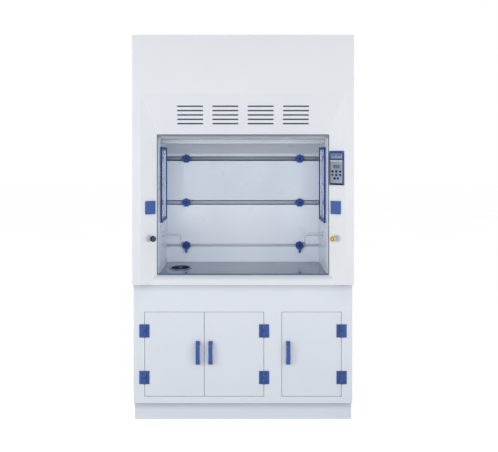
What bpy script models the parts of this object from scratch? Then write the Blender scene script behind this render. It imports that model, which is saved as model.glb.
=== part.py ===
"""A ducted fume hood: a louvred hood body with a two-pane sash over a three-door base cabinet.

Metres, +Z up. The origin is the middle of the footprint on the floor, the front faces -Y.
Depths named ..._D are measured back from the front plane of the hood.
"""

import math

import bmesh
import bpy
from mathutils import Matrix, Vector

# Whole hood
WIDTH = 1.240
DEPTH = 0.800
BODY_TOP = 2.185
BODY_BOTTOM = 0.786
SHEET = 0.008
SEAT = 0.0003

# Base cabinet
PLINTH_H = 0.107
PLINTH_D = 0.118
CABINET_D = 0.066
FRAME_T = 0.018
STILE_W = 0.0615
CENTRE_STILE_W = 0.099
DOOR_H = 0.476
DOOR_BOTTOM = 0.147
DOOR_GAP = 0.002

# Door hinges and handles
HINGE_W = 0.058
HINGE_H = 0.075
LEAF_T = 0.003
KNUCKLE_R = 0.006
KNUCKLE_H = 0.0244
PIN_R = 0.0025
HINGE_RUN = 0.0003
HINGE_OFFSET = 0.132
HANDLE_W = 0.023
HANDLE_H = 0.132
HANDLE_REACH = 0.034
HANDLE_T = 0.009
HANDLE_INSET = 0.035
HANDLE_Z = 0.394

# Front fascia
POST_FACE_W = 0.049
BEVEL_RUN = 0.084
OPENING_TOP = 1.630
BEVEL_D = 0.065
BEVEL_RETURN = 0.0075
HEADER_TOP = 1.855
SILL_D = 0.046
SILL_BOTTOM = 0.779
SILL_NOSE_Z = 0.803
LOUVRE_W = 0.147
LOUVRE_H = 0.0085
LOUVRE_PITCH = 0.0242
LOUVRE_GROUP_PITCH = 0.1986
LOUVRE_GROUPS = 4
LOUVRE_ROWS = 5
LOUVRE_TOP_Z = 1.7875

# Worktop, sink and chamber
WORKTOP_Z = 0.838
WORKTOP_T = 0.030
WORKTOP_D = 0.0853
LEDGE = 0.012
LINER_STEP = 0.007
CEILING_Z = 1.608
BAFFLE_D = 0.600
SINK_INSET = 0.106
SINK_D = 0.326
SINK_HALF = (0.0685, 0.1085)
SINK_BOWL_HALF = (0.0565, 0.093)
SINK_RIM_COVER = 0.0065
SINK_DEPTH = 0.115
DRAIN_R = 0.020
LAMP_D = 0.236
LAMP_W = 0.120
LAMP_H = 0.0287

# Baffles at the back, their slots and knobs
SLOT_MIDDLES = (0.9435, 1.2128, 1.4894)
SLOT_HEIGHTS = (0.015, 0.028, 0.028)
LEAN_FOOT = 0.018
KNOB_INSET = 0.123
KNOB_R = 0.0285
KNOB_DEPTH = 0.022
STUD_R = 0.005
POST_R = 0.022
TAIL_LENGTH = 0.043

# Side windows
WINDOW_D = 0.180
WINDOW_W = 0.314
WINDOW_BOTTOM = 1.118
WINDOW_H = 0.442
WINDOW_RIM = 0.015
WINDOW_PROUD = 0.010
WINDOW_TUBE = 0.005
PANE_T = 0.005

# Sash and its guides
GUIDE_CHANNEL_W = 0.033
GUIDE_WALL = 0.008
FIN_T = 0.0047
SASH_T = 0.0114
SASH_RUN = 0.0003
SASH_BOTTOM = 1.610
SASH_CLEAR = 0.145
RAIL_H = 0.040
SASH_STILE_W = 0.020
LIP_REACH = 0.013
LIP_T = 0.008
SASH_COVER = 0.021
SASH_MIDDLE_FIN = 0.004
GUIDE_CLEAR = 0.125

# Counterweights, pulleys and cables
PULLEY_CLEAR = 0.080
PULLEY_RUN_R = 0.0375
PULLEY_T = 0.010
CABLE_R = 0.0015
CABLE_INSET = 0.013
AXLE_R = 0.005
WEIGHT_SIZE = (0.054, 0.030, 0.350)
WEIGHT_BOTTOM = 0.880

# Exhaust duct
DUCT_R = 0.125
DUCT_WALL = 0.005
DUCT_BACK = 0.146
COLLAR_H = 0.045
COLLAR_FLANGE = 0.018

# Fittings
SPOUT_REACH = 0.114
SPOUT_Z = 1.038
SPOUT_D = 0.345
SPOUT_R = 0.0085
SPOUT_BEND = 0.022
SPOUT_DROP = 0.040
VALVE_Z = 1.045
VALVE_R = 0.0165
VALVE_REACH = 0.030
SOCKET_Z = 1.2177
SOCKET_W = 0.062
SOCKET_SHIFT = 0.0055
SOCKET_H = 0.074
SOCKET_T = 0.0055
SOCKET_BOX = 0.050
SOCKET_BOX_DEPTH = 0.036
SOCKET_WELL_R = 0.019
SOCKET_WELL_DEPTH = 0.014
COVER_T = 0.004
COVER_HINGE_R = 0.0022
PANEL_W = 0.0945
PANEL_H = 0.190
PANEL_Z = 1.442
PANEL_T = 0.007
KEY_T = 0.001

# Sizes that follow from the ones above
SIDE = WIDTH / 2
INNER = SIDE - SHEET - SEAT
DOOR_LINE = SIDE - STILE_W
DOOR_W = (2 * DOOR_LINE - CENTRE_STILE_W - 5 * DOOR_GAP) / 3
CREASE = SIDE - POST_FACE_W
OPENING_HALF = CREASE - BEVEL_RUN
LINER_HALF = OPENING_HALF - LINER_STEP
GUIDE_OUTER = OPENING_HALF + GUIDE_CHANNEL_W
SASH_HALF = OPENING_HALF + SASH_COVER
CABLE_X = OPENING_HALF + CABLE_INSET
KNOB_X = LINER_HALF - KNOB_INSET
SINK_X = SINK_INSET - LINER_HALF
BEVEL_TURN = math.atan2(BEVEL_D, BEVEL_RUN)
PANEL_PROUD = PANEL_W / 2 * math.sin(BEVEL_TURN) + (PANEL_T + SEAT) * math.cos(BEVEL_TURN) - BEVEL_D / 2
FRONT = -DEPTH / 2 + PANEL_PROUD
BACK = DEPTH / 2
DUCT_D = BACK - DUCT_BACK - FRONT
CABINET_Y = FRONT + CABINET_D
CABINET_INSIDE_Y = CABINET_Y + FRAME_T + SEAT
BACK_INNER_Y = BACK - SHEET - SEAT
DOOR_TOP = DOOR_BOTTOM + DOOR_H
DOOR_MIDDLE_Z = (DOOR_BOTTOM + DOOR_TOP) / 2
HINGE_Y = CABINET_Y - KNUCKLE_R - HINGE_RUN
BAFFLE_Y = FRONT + BAFFLE_D
LINER_OUTER = LINER_HALF + SHEET
FIN_FRONT_D = BEVEL_D + BEVEL_RETURN + SEAT
FIN_BACK_D = FIN_FRONT_D + FIN_T
SASH_FRONT_D = FIN_BACK_D + SASH_RUN
SASH_BACK_D = SASH_FRONT_D + SASH_T
PANE_SLOT_D = SASH_BACK_D + SASH_RUN + SASH_MIDDLE_FIN
UPPER_PANE_D = PANE_SLOT_D + SASH_RUN
LINER_D = UPPER_PANE_D + PANE_T + SASH_RUN
REAR_FIN_T = 0.0054
SASH_MIDDLE_D = (SASH_FRONT_D + SASH_BACK_D) / 2
PULLEY_X = CABLE_X + PULLEY_RUN_R
WEIGHT_X = CABLE_X + 2 * PULLEY_RUN_R
SASH_TOP = BODY_TOP - SASH_CLEAR
GUIDE_TOP = BODY_TOP - GUIDE_CLEAR
PULLEY_Z = BODY_TOP - PULLEY_CLEAR
WEIGHT_TOP = WEIGHT_BOTTOM + WEIGHT_SIZE[2]
BEVEL_MIDDLE = ((CREASE + OPENING_HALF) / 2, FRONT + BEVEL_D / 2)

WHITE = ("white_polypropylene", (0.78, 0.80, 0.82), 0.38)
BLUE = ("blue_polypropylene", (0.05, 0.10, 0.30), 0.40)
GREY = ("grey_polypropylene", (0.36, 0.40, 0.46), 0.35)
STEEL = ("zinced_steel", (0.55, 0.56, 0.58), 0.35)
PALE = ("pale_diffuser", (0.80, 0.80, 0.78), 0.50)
GLASS = ("clear_glass", (0.80, 0.88, 0.88), 0.05)
YELLOW = ("yellow_knob", (0.75, 0.55, 0.20), 0.40)
DARK = ("dark_panel", (0.05, 0.07, 0.16), 0.35)

for stale in list(bpy.data.objects):
    bpy.data.objects.remove(stale, do_unlink=True)

hood = bpy.data.collections.new("ducted_fume_hood")
cutters = bpy.data.collections.new("cutters")
cutters.hide_render = True
for collection in (hood, cutters):
    bpy.context.scene.collection.children.link(collection)


def finish(style):
    """One Principled material for each named finish, made when it is first asked for."""
    name, colour, roughness = style
    made = bpy.data.materials.get(name)
    if made is None:
        made = bpy.data.materials.new(name)
        made.use_nodes = True
        surface = made.node_tree.nodes["Principled BSDF"]
        surface.inputs["Base Color"].default_value = (*colour, 1)
        surface.inputs["Roughness"].default_value = roughness
        surface.inputs["Metallic"].default_value = 1.0 if style is STEEL else 0.0
        surface.inputs["Transmission Weight"].default_value = 0.9 if style is GLASS else 0.0
    return made


def add(name, mesh, style=None, location=(0, 0, 0), rotation=(0, 0, 0)):
    """Places a mesh as a named piece of the hood, or as a helper where it has no finish."""
    piece = bpy.data.objects.new(name, mesh)
    piece.location = location
    piece.rotation_euler = rotation
    if style is None:
        piece.hide_render = True
        piece.display_type = "WIRE"
        cutters.objects.link(piece)
    else:
        mesh.materials.clear()
        mesh.materials.append(finish(style))
        hood.objects.link(piece)
    return piece


def mesh_from(bm, name):
    bmesh.ops.recalc_face_normals(bm, faces=bm.faces)
    mesh = bpy.data.meshes.new(name)
    bm.to_mesh(mesh)
    bm.free()
    return mesh


def block(name, style, low, high):
    """A box between two corners, with its origin in its middle."""
    low, high = Vector(low), Vector(high)
    bm = bmesh.new()
    bmesh.ops.create_cube(bm, size=1)
    bmesh.ops.scale(bm, vec=high - low, verts=bm.verts)
    return add(name, mesh_from(bm, name), style, (low + high) / 2)


def sheet(name, style, outline, holes, low, thick, facing):
    """A flat outline with holes, given thickness. Facing X takes (y, z), Y takes (x, z) and Z takes (x, y)."""
    curve = bpy.data.curves.new(name, "CURVE")
    curve.dimensions = "2D"
    curve.fill_mode = "BOTH"
    curve.extrude = thick / 2
    for points in [outline, *holes]:
        spline = curve.splines.new("POLY")
        spline.points.add(len(points) - 1)
        for point, (u, v) in zip(spline.points, points):
            point.co = (u, v, 0, 1)
        spline.use_cyclic_u = True
    turn = {"X": (math.pi / 2, 0, math.pi / 2), "Y": (math.pi / 2, 0, 0), "Z": (0, 0, 0)}[facing]
    middle = {"X": (1, 0, 0), "Y": (0, 1, 0), "Z": (0, 0, 1)}[facing]
    drawn = bpy.data.objects.new(name + "_outline", curve)
    bpy.context.scene.collection.objects.link(drawn)
    graph = bpy.context.evaluated_depsgraph_get()
    mesh = bpy.data.meshes.new_from_object(drawn.evaluated_get(graph))
    bpy.data.objects.remove(drawn, do_unlink=True)
    bm = bmesh.new()
    bm.from_mesh(mesh)
    bpy.data.meshes.remove(mesh)
    bmesh.ops.remove_doubles(bm, verts=bm.verts, dist=1e-6)
    place = Vector(middle) * (low + thick / 2)
    return add(name, mesh_from(bm, name), style, place, turn)


def loft(name, style, rings, location, rotation=(0, 0, 0), loop=False):
    """Skins a list of rings, closing the ends with caps, or the last ring onto the first."""
    bm = bmesh.new()
    rows = [[bm.verts.new(point) for point in ring] for ring in rings]
    pairs = list(zip(rows, rows[1:]))
    if loop:
        pairs.append((rows[-1], rows[0]))
    else:
        bm.faces.new(rows[0])
        bm.faces.new(rows[-1])
    for near, far in pairs:
        for k in range(len(near)):
            after = (k + 1) % len(near)
            bm.faces.new((near[k], near[after], far[after], far[k]))
    piece = add(name, mesh_from(bm, name), style, location, rotation)
    piece.data.shade_smooth()
    piece.data.set_sharp_from_angle(angle=math.radians(35))
    return piece


def turned(name, style, profile, steps, location, rotation=(0, 0, 0)):
    """A profile of (radius, height) points, outer side first and top to bottom, turned about local Z."""
    bm = bmesh.new()
    points = [bm.verts.new((radius, 0, height)) for radius, height in profile]
    for start, end in zip(points, points[1:] + points[:1]):
        bm.edges.new((start, end))
    mesh = bpy.data.meshes.new(name)
    bm.to_mesh(mesh)
    bm.free()
    piece = add(name, mesh, style, location, rotation)
    screw = piece.modifiers.new("turn", "SCREW")
    screw.axis = "Z"
    screw.steps = steps
    screw.render_steps = steps
    screw.use_merge_vertices = True
    screw.merge_threshold = 1e-5
    screw.use_smooth_shade = True
    return piece


def disc(name, style, radius, low, high, sides, location, rotation=(0, 0, 0)):
    """A cylinder from low to high along local Z."""
    bm = bmesh.new()
    bmesh.ops.create_cone(
        bm,
        cap_ends=True,
        segments=sides,
        radius1=radius,
        radius2=radius,
        depth=high - low,
        matrix=Matrix.Translation((0, 0, (low + high) / 2)),
    )
    return add(name, mesh_from(bm, name), style, location, rotation)


def boolean(piece, other, operation):
    change = piece.modifiers.new(operation.lower() + "_" + other.name, "BOOLEAN")
    change.operation = operation
    change.object = other
    return piece


def round_edges(piece, width, segments=2, angle=40):
    rounding = piece.modifiers.new("rounding", "BEVEL")
    rounding.width = width
    rounding.segments = segments
    rounding.limit_method = "ANGLE"
    rounding.angle_limit = math.radians(angle)
    return piece


def pivot(name, location):
    """An empty on a joint's axis, which carries the pieces that move."""
    axis = bpy.data.objects.new(name, None)
    axis.location = location
    axis.empty_display_size = 0.05
    hood.objects.link(axis)
    return axis


def carry(axis, *pieces):
    for piece in pieces:
        piece.parent = axis
        piece.matrix_parent_inverse = Matrix.Translation(axis.location).inverted()


def rectangle(u0, v0, u1, v1):
    return [(u0, v0), (u1, v0), (u1, v1), (u0, v1)]


def rounded(points, radius, steps=3):
    """An outline with each corner replaced by an arc of one radius, tangent to both sides."""
    out = []
    for k, corner in enumerate(points):
        here = Vector(corner)
        back = (Vector(points[k - 1]) - here).normalized()
        on = (Vector(points[(k + 1) % len(points)]) - here).normalized()
        reach = radius / math.tan(back.angle(on) / 2)
        start, end = here + back * reach, here + on * reach
        for step in range(steps + 1):
            t = step / steps
            out.append(tuple(start * (1 - t) ** 2 + here * 2 * t * (1 - t) + end * t**2))
    return out


def ellipse(middle, halves, sides):
    angles = [2 * math.pi * k / sides for k in range(sides)]
    return [(middle[0] + halves[0] * math.cos(a), middle[1] + halves[1] * math.sin(a)) for a in angles]


def mirrored(points):
    """The same outline on the other side of the middle plane, kept in the same turning sense."""
    return [(-u, v) for u, v in reversed(points)]


def placed(points, side):
    return points if side > 0 else mirrored(points)


def make_base():
    inner_y = FRONT + PLINTH_D
    hole = rectangle(-SIDE + SHEET, inner_y + SHEET, SIDE - SHEET, BACK - SHEET)
    ring = sheet("plinth_ring", None, rectangle(-SIDE, inner_y, SIDE, BACK), [hole], 0, PLINTH_H + SHEET / 2, "Z")
    floor = block("cabinet_base", WHITE, (-SIDE, CABINET_INSIDE_Y, PLINTH_H), (SIDE, BACK, PLINTH_H + SHEET))
    boolean(floor, ring, "UNION")
    low_z = PLINTH_H + SHEET + SEAT
    for side, name in ((-1, "cabinet_left_side"), (1, "cabinet_right_side")):
        xs = sorted((side * SIDE, side * (SIDE - SHEET)))
        block(name, WHITE, (xs[0], CABINET_INSIDE_Y, low_z), (xs[1], BACK, BODY_BOTTOM - SEAT))


def door_edges():
    """The x of each door's hinge line, and +1 where the door lies on its right."""
    pair = 2 * DOOR_W + 3 * DOOR_GAP
    single = DOOR_W + 2 * DOOR_GAP
    return {
        "left": (-DOOR_LINE, 1),
        "middle": (-DOOR_LINE + pair, -1),
        "right": (DOOR_LINE, -1),
    }, (-DOOR_LINE, -DOOR_LINE + pair), (DOOR_LINE - single, DOOR_LINE)


def make_front_frame():
    _, pair, single = door_edges()
    low, high = DOOR_BOTTOM - DOOR_GAP, DOOR_TOP + DOOR_GAP
    holes = [rectangle(edges[0], low, edges[1], high) for edges in (pair, single)]
    outline = rectangle(-SIDE, PLINTH_H, SIDE, BODY_BOTTOM - SEAT)
    frame = sheet("cabinet_front_frame", WHITE, outline, holes, CABINET_Y, FRAME_T, "Y")
    middle = (pair[1] + single[0]) / 2
    wall = block(
        "dividing_wall",
        None,
        (middle - SHEET / 2, CABINET_Y + FRAME_T / 2, PLINTH_H + SHEET + SEAT),
        (middle + SHEET / 2, BACK_INNER_Y, BODY_BOTTOM - SEAT),
    )
    boolean(frame, wall, "UNION")


def hinge_leaf(name, style, toward, x, z, carries_pin):
    """Half a butt hinge. The fixed half has the two end knuckles and the pin, the door's half has the middle one."""
    reach = HINGE_W / 2
    half, gap, clear = HINGE_H / 2, KNUCKLE_H / 2 + SEAT, KNUCKLE_R + SEAT
    near = KNUCKLE_R / 2
    if carries_pin:
        steps = [(near, -half), (near, -gap), (clear, -gap), (clear, gap), (near, gap), (near, half)]
    else:
        tongue = gap - SEAT
        steps = [(clear, -half), (clear, -tongue), (near, -tongue), (near, tongue), (clear, tongue), (clear, half)]
    outline = [(reach, half), (reach, -half), *steps]
    local = [(x + u, z + v) for u, v in placed(outline, toward)]
    sunk = -SEAT if carries_pin else LEAF_T / 3
    leaf = sheet(name, style, local, [], CABINET_Y - LEAF_T, LEAF_T + sunk, "Y")
    centre = (x, HINGE_Y, z)
    if not carries_pin:
        ring = sheet(
            name + "_knuckle",
            None,
            ellipse((x, HINGE_Y), (KNUCKLE_R, KNUCKLE_R), 14),
            [ellipse((x, HINGE_Y), (PIN_R + HINGE_RUN, PIN_R + HINGE_RUN), 12)],
            z - KNUCKLE_H / 2,
            KNUCKLE_H,
            "Z",
        )
        return boolean(leaf, ring, "UNION")
    for low, high, part in ((-half, -gap, "lower"), (gap, half, "upper")):
        boolean(leaf, disc(f"{name}_{part}_knuckle", None, KNUCKLE_R, low, high, 14, centre), "UNION")
    pin = disc(name + "_pin", None, PIN_R, -half + LEAF_T, half - LEAF_T, 12, centre)
    return boolean(leaf, pin, "UNION")


def handle_outline():
    """Side view of a bow handle: an outer and an inner half-superellipse that share two feet."""
    outer, inner = [], []
    for k in range(13):
        a = math.pi * k / 12
        c, s = math.cos(a), math.sin(a)
        flat = math.copysign(abs(c) ** 0.45, c)
        rise = abs(s) ** 0.6
        outer.append((-HANDLE_REACH * rise, flat * HANDLE_H / 2))
        inner.append((-(HANDLE_REACH - HANDLE_T) * rise, flat * (HANDLE_H / 2 - 1.8 * HANDLE_T)))
    return outer + inner[::-1]


def make_doors():
    edges, _, _ = door_edges()
    for name, (hinge_x, toward) in edges.items():
        near = hinge_x + toward * DOOR_GAP
        far = near + toward * DOOR_W
        xs = sorted((near, far))
        door = block(
            "door_" + name, WHITE, (xs[0], CABINET_Y, DOOR_BOTTOM), (xs[1], CABINET_Y + FRAME_T, DOOR_TOP)
        )
        round_edges(door, 0.0015, 1)
        axis = pivot(f"door_{name}_axis", (hinge_x, HINGE_Y, DOOR_MIDDLE_Z))
        for height, place in ((1, "upper"), (-1, "lower")):
            z = DOOR_MIDDLE_Z + height * HINGE_OFFSET
            hinge_leaf(f"hinge_{name}_{place}", BLUE, -toward, hinge_x, z, True)
            moving = hinge_leaf(f"leaf_{name}_{place}", None, toward, hinge_x, z, False)
            boolean(door, moving, "UNION")
            carry(axis, moving)
        handle_x = far - toward * HANDLE_INSET
        outline = [(CABINET_Y - SEAT + u, HANDLE_Z + v) for u, v in handle_outline()]
        handle = sheet("handle_" + name, BLUE, outline, [], handle_x - HANDLE_W / 2, HANDLE_W, "X")
        round_edges(handle, 0.002, 2, 60)
        carry(axis, door, handle)


def window_hole(grow):
    y = FRONT + WINDOW_D + WINDOW_RIM
    z = WINDOW_BOTTOM + WINDOW_RIM
    return rectangle(
        y - grow, z - grow, y + WINDOW_W - 2 * WINDOW_RIM + grow, z + WINDOW_H - 2 * WINDOW_RIM + grow
    )


def make_hood_shell():
    side_outline = rectangle(FRONT + SHEET + SEAT, BODY_BOTTOM, BACK, BODY_TOP)
    ledge_top = WORKTOP_Z - WORKTOP_T - SEAT
    for side, name in ((-1, "hood_left_side"), (1, "hood_right_side")):
        low_x = -SIDE if side < 0 else SIDE - SHEET
        wall = sheet(name, WHITE, side_outline, [window_hole(WINDOW_TUBE + SEAT)], low_x, SHEET, "X")
        xs = sorted((side * (SIDE - SHEET / 2), side * (SIDE - SHEET - LEDGE)))
        ledge = block(
            name + "_ledge",
            None,
            (xs[0], FRONT + WORKTOP_D, ledge_top - LEDGE),
            (xs[1], BACK_INNER_Y - SEAT, ledge_top),
        )
        boolean(wall, ledge, "UNION")
    duct_hole = ellipse((0, FRONT + DUCT_D), (DUCT_R + SEAT, DUCT_R + SEAT), 48)
    roof = rectangle(-INNER, FRONT + SHEET + SEAT, INNER, BACK_INNER_Y)
    sheet("hood_roof", WHITE, roof, [duct_hole], BODY_TOP - SHEET, SHEET, "Z")


def make_back_panel():
    panel = block(
        "back_panel", WHITE, (-INNER, BACK - SHEET, PLINTH_H + SHEET + SEAT), (INNER, BACK, BODY_TOP)
    )
    post_end = BAFFLE_Y + SHEET + SEAT
    length = BACK - SHEET / 2 - post_end
    stud_length = SHEET + KNOB_DEPTH * 0.6
    profile = [
        (0, length + stud_length),
        (STUD_R, length + stud_length),
        (STUD_R, length),
        (POST_R, length),
        (POST_R, 0),
        (0, 0),
    ]
    for z in SLOT_MIDDLES:
        for side in (-1, 1):
            post = turned(f"baffle_post_{side}_{z}", None, profile, 12, (side * KNOB_X, BACK - SHEET / 2, z))
            post.rotation_euler = (math.pi / 2, 0, 0)
            boolean(panel, post, "UNION")


def make_fascia():
    """Outer strip, bevel and return, each a U round the opening, then Solidify; louvres cut, sill joined."""
    rows = [
        (SIDE, BODY_TOP, 0),
        (CREASE, HEADER_TOP, 0),
        (OPENING_HALF, OPENING_TOP, BEVEL_D),
        (OPENING_HALF, OPENING_TOP, BEVEL_D + BEVEL_RETURN),
    ]
    bm = bmesh.new()
    lines = []
    for x, top, depth in rows:
        corners = ((-x, BODY_BOTTOM), (-x, top), (x, top), (x, BODY_BOTTOM))
        lines.append([bm.verts.new((u, FRONT + depth, v)) for u, v in corners])
    for outer, inner in zip(lines, lines[1:]):
        for k in range(3):
            bm.faces.new((outer[k], outer[k + 1], inner[k + 1], inner[k]))
    bmesh.ops.recalc_face_normals(bm, faces=bm.faces)
    bm.faces.ensure_lookup_table()
    if bm.faces[0].normal.y > 0:
        bmesh.ops.reverse_faces(bm, faces=bm.faces)
    mesh = bpy.data.meshes.new("front_fascia")
    bm.to_mesh(mesh)
    bm.free()
    fascia = add("front_fascia", mesh, WHITE)
    wall = fascia.modifiers.new("wall", "SOLIDIFY")
    wall.thickness = SHEET
    wall.offset = -1
    wall.solidify_mode = "NON_MANIFOLD"
    wall.nonmanifold_thickness_mode = "CONSTRAINTS"
    round_edges(fascia, 0.0015, 1, 25)
    slot = rounded(rectangle(-LOUVRE_W / 2, -LOUVRE_H / 2, LOUVRE_W / 2, LOUVRE_H / 2), LOUVRE_H * 0.49, 3)
    for group in range(LOUVRE_GROUPS):
        x = (group - (LOUVRE_GROUPS - 1) / 2) * LOUVRE_GROUP_PITCH
        for row in range(LOUVRE_ROWS):
            z = LOUVRE_TOP_Z - row * LOUVRE_PITCH
            moved = [(x + u, z + v) for u, v in slot]
            cutter = sheet(f"louvre_{group}_{row}", None, moved, [], FRONT - SHEET, BEVEL_D + 3 * SHEET, "Y")
            boolean(fascia, cutter, "DIFFERENCE")
    for side, name in ((-1, "left"), (1, "right")):
        place, turn = on_bevel(side, SOCKET_Z, -side * SOCKET_SHIFT)
        stand = (math.pi / 2, 0, turn[2])
        hole = disc(f"socket_hole_{name}", None, SOCKET_BOX / 2 + SEAT, -3 * SHEET, SHEET, 24, place, stand)
        boolean(fascia, hole, "DIFFERENCE")
    boolean(fascia, make_sill(), "UNION")


def make_sill():
    """A rounded nose profile run between the posts and trimmed to their bevels."""
    nose = 0.030
    outer = [(SILL_D, SILL_BOTTOM)]
    inner = [(SILL_D + SHEET, SILL_BOTTOM)]
    rise = WORKTOP_Z - SILL_NOSE_Z
    for k in range(7):
        a = math.pi / 2 * k / 6
        outer.append((SILL_D + nose * (1 - math.cos(a)), SILL_NOSE_Z + rise * math.sin(a)))
        inner.append(
            (SILL_D + SHEET + (nose - SHEET / 2) * (1 - math.cos(a)), SILL_NOSE_Z + (rise - SHEET) * math.sin(a))
        )
    end = WORKTOP_D - SEAT
    outer.append((end, WORKTOP_Z))
    inner.append((end, WORKTOP_Z - SHEET))
    outline = [(FRONT + d, z) for d, z in outer + inner[::-1]]
    sill = sheet("sill", None, outline, [], -CREASE, 2 * CREASE, "X")
    slope = BEVEL_RUN / BEVEL_D
    bite = SHEET / 2
    front_x = CREASE - slope * SILL_D + 0.5 * bite + slope * 0.01
    back_x = OPENING_HALF + bite
    plan = [
        (-front_x, FRONT + SILL_D - 0.01),
        (front_x, FRONT + SILL_D - 0.01),
        (back_x, FRONT + BEVEL_D),
        (back_x, FRONT + WORKTOP_D + 0.01),
        (-back_x, FRONT + WORKTOP_D + 0.01),
        (-back_x, FRONT + BEVEL_D),
    ]
    trim = sheet("sill_trim", None, plan, [], SILL_BOTTOM - 0.05, 0.2, "Z")
    return boolean(sill, trim, "INTERSECT")


def make_worktop():
    front, back = FRONT + WORKTOP_D, BACK_INNER_Y
    hole_half = [half - SINK_RIM_COVER for half in SINK_HALF]
    hole = ellipse((SINK_X, FRONT + SINK_D), hole_half, 32)
    outline = rectangle(-INNER, front, INNER, back)
    sheet("worktop", GREY, outline, [hole], WORKTOP_Z - WORKTOP_T, WORKTOP_T, "Z")


def make_sink():
    """Elliptical rings down the inside of the bowl, through the drain and up the outside."""
    wall, rim_t, rim_fall = 0.004, 0.004, 0.002
    rim, bowl = SINK_HALF, SINK_BOWL_HALF

    def ring(halves, z):
        return [(u, v, z) for u, v in ellipse((0, 0), halves, 32)]

    low = -SINK_DEPTH
    drop = low - 0.05
    waist = [half * 0.62 for half in bowl]
    rings = [
        ring((DRAIN_R - wall, DRAIN_R - wall), drop),
        ring((DRAIN_R - wall, DRAIN_R - wall), low),
        ring(waist, low + 0.012),
        ring([half - 0.006 for half in bowl], low + 0.05),
        ring(bowl, 0),
        ring([half + 0.003 for half in bowl], rim_t),
        ring([half - 0.006 for half in rim], rim_t),
        ring(rim, rim_t - rim_fall),
        ring(rim, SEAT),
        ring([half + wall for half in bowl], SEAT),
        ring([half + wall - 0.006 for half in bowl], low + 0.048),
        ring([half + wall for half in waist], low + 0.008),
        ring((DRAIN_R, DRAIN_R), low - wall),
        ring((DRAIN_R, DRAIN_R), drop),
    ]
    loft("cup_sink", GREY, rings, (SINK_X, FRONT + SINK_D, WORKTOP_Z), loop=True)


def make_liner(name, side):
    """The side wall of the chamber with its two-track sash guide and the bracket and axle of the sash pulley."""
    outer, wall = GUIDE_OUTER, GUIDE_OUTER - GUIDE_WALL
    lips = (OPENING_HALF + 0.001, LINER_HALF + 0.004, LINER_HALF)
    rear = LINER_D + REAR_FIN_T
    track = [
        (outer, FIN_FRONT_D),
        (lips[0], FIN_FRONT_D),
        (lips[0], FIN_BACK_D),
        (wall, FIN_BACK_D),
        (wall, SASH_BACK_D + SASH_RUN),
        (lips[1], SASH_BACK_D + SASH_RUN),
        (lips[1], PANE_SLOT_D),
        (wall, PANE_SLOT_D),
        (wall, LINER_D),
        (lips[2], LINER_D),
        (lips[2], rear),
        (outer, rear),
    ]
    foot = WORKTOP_Z + SEAT
    plan = placed([(u, FRONT + v) for u, v in track], side)
    guide = sheet(name, WHITE, plan, [], foot, GUIDE_TOP - foot, "Z")
    low_x = LINER_HALF if side > 0 else -LINER_OUTER
    face = rectangle(FRONT + LINER_D, foot, BACK_INNER_Y, CEILING_Z + SHEET)
    liner = sheet(name + "_wall", None, face, [window_hole(WINDOW_TUBE + SEAT)], low_x, SHEET, "X")
    boolean(guide, liner, "UNION")
    bracket_x = sorted((side * (outer - 0.014), side * (PULLEY_X + 0.045)))
    bracket = block(
        name + "_bracket",
        None,
        (bracket_x[0], FRONT + FIN_FRONT_D, GUIDE_TOP - 0.020),
        (bracket_x[1], FRONT + FIN_BACK_D, PULLEY_Z + 0.045),
    )
    boolean(guide, bracket, "UNION")
    reach = PULLEY_T + 0.004
    axle = disc(
        name + "_axle",
        None,
        AXLE_R,
        -reach,
        FIN_T / 2,
        16,
        (side * PULLEY_X, FRONT + FIN_BACK_D, PULLEY_Z),
        (math.pi / 2, 0, 0),
    )
    boolean(guide, axle, "UNION")


def make_chamber():
    make_liner("left_liner", -1)
    make_liner("right_liner", 1)
    half = LINER_HALF - SEAT
    outline = rectangle(-half, FRONT + LINER_D, half, BACK_INNER_Y)
    hole = ellipse((0, FRONT + DUCT_D), (DUCT_R - DUCT_WALL,) * 2, 48)
    sheet("ceiling_panel", WHITE, outline, [hole], CEILING_Z, SHEET, "Z")
    lamp_y = FRONT + LAMP_D
    top = CEILING_Z - SEAT
    lamp = block("lamp", PALE, (-half, lamp_y, top - LAMP_H), (half, lamp_y + LAMP_W, top))
    round_edges(lamp, 0.004, 2)
    edges = [WORKTOP_Z + SEAT]
    for middle, height in zip(SLOT_MIDDLES, SLOT_HEIGHTS):
        edges += [middle - height / 2, middle + height / 2]
    for name, low, high in zip(("lower", "middle", "upper"), edges[0::2], edges[1::2]):
        baffle = block("baffle_" + name, WHITE, (-half, BAFFLE_Y, low), (half, BAFFLE_Y + SHEET, high))
        round_edges(baffle, 0.0015, 1)
    foot = edges[-1]
    bend = foot + LEAN_FOOT
    rise = CEILING_Z - SEAT - bend
    slab = SHEET * math.sqrt(2)
    lean = [
        (BAFFLE_Y, foot),
        (BAFFLE_Y + SHEET, foot),
        (BAFFLE_Y + SHEET, bend + slab - SHEET),
        (BAFFLE_Y + slab - rise, bend + rise),
        (BAFFLE_Y - rise, bend + rise),
        (BAFFLE_Y, bend),
    ]
    sheet("baffle_top", WHITE, lean, [], -half, 2 * half, "X")


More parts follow.
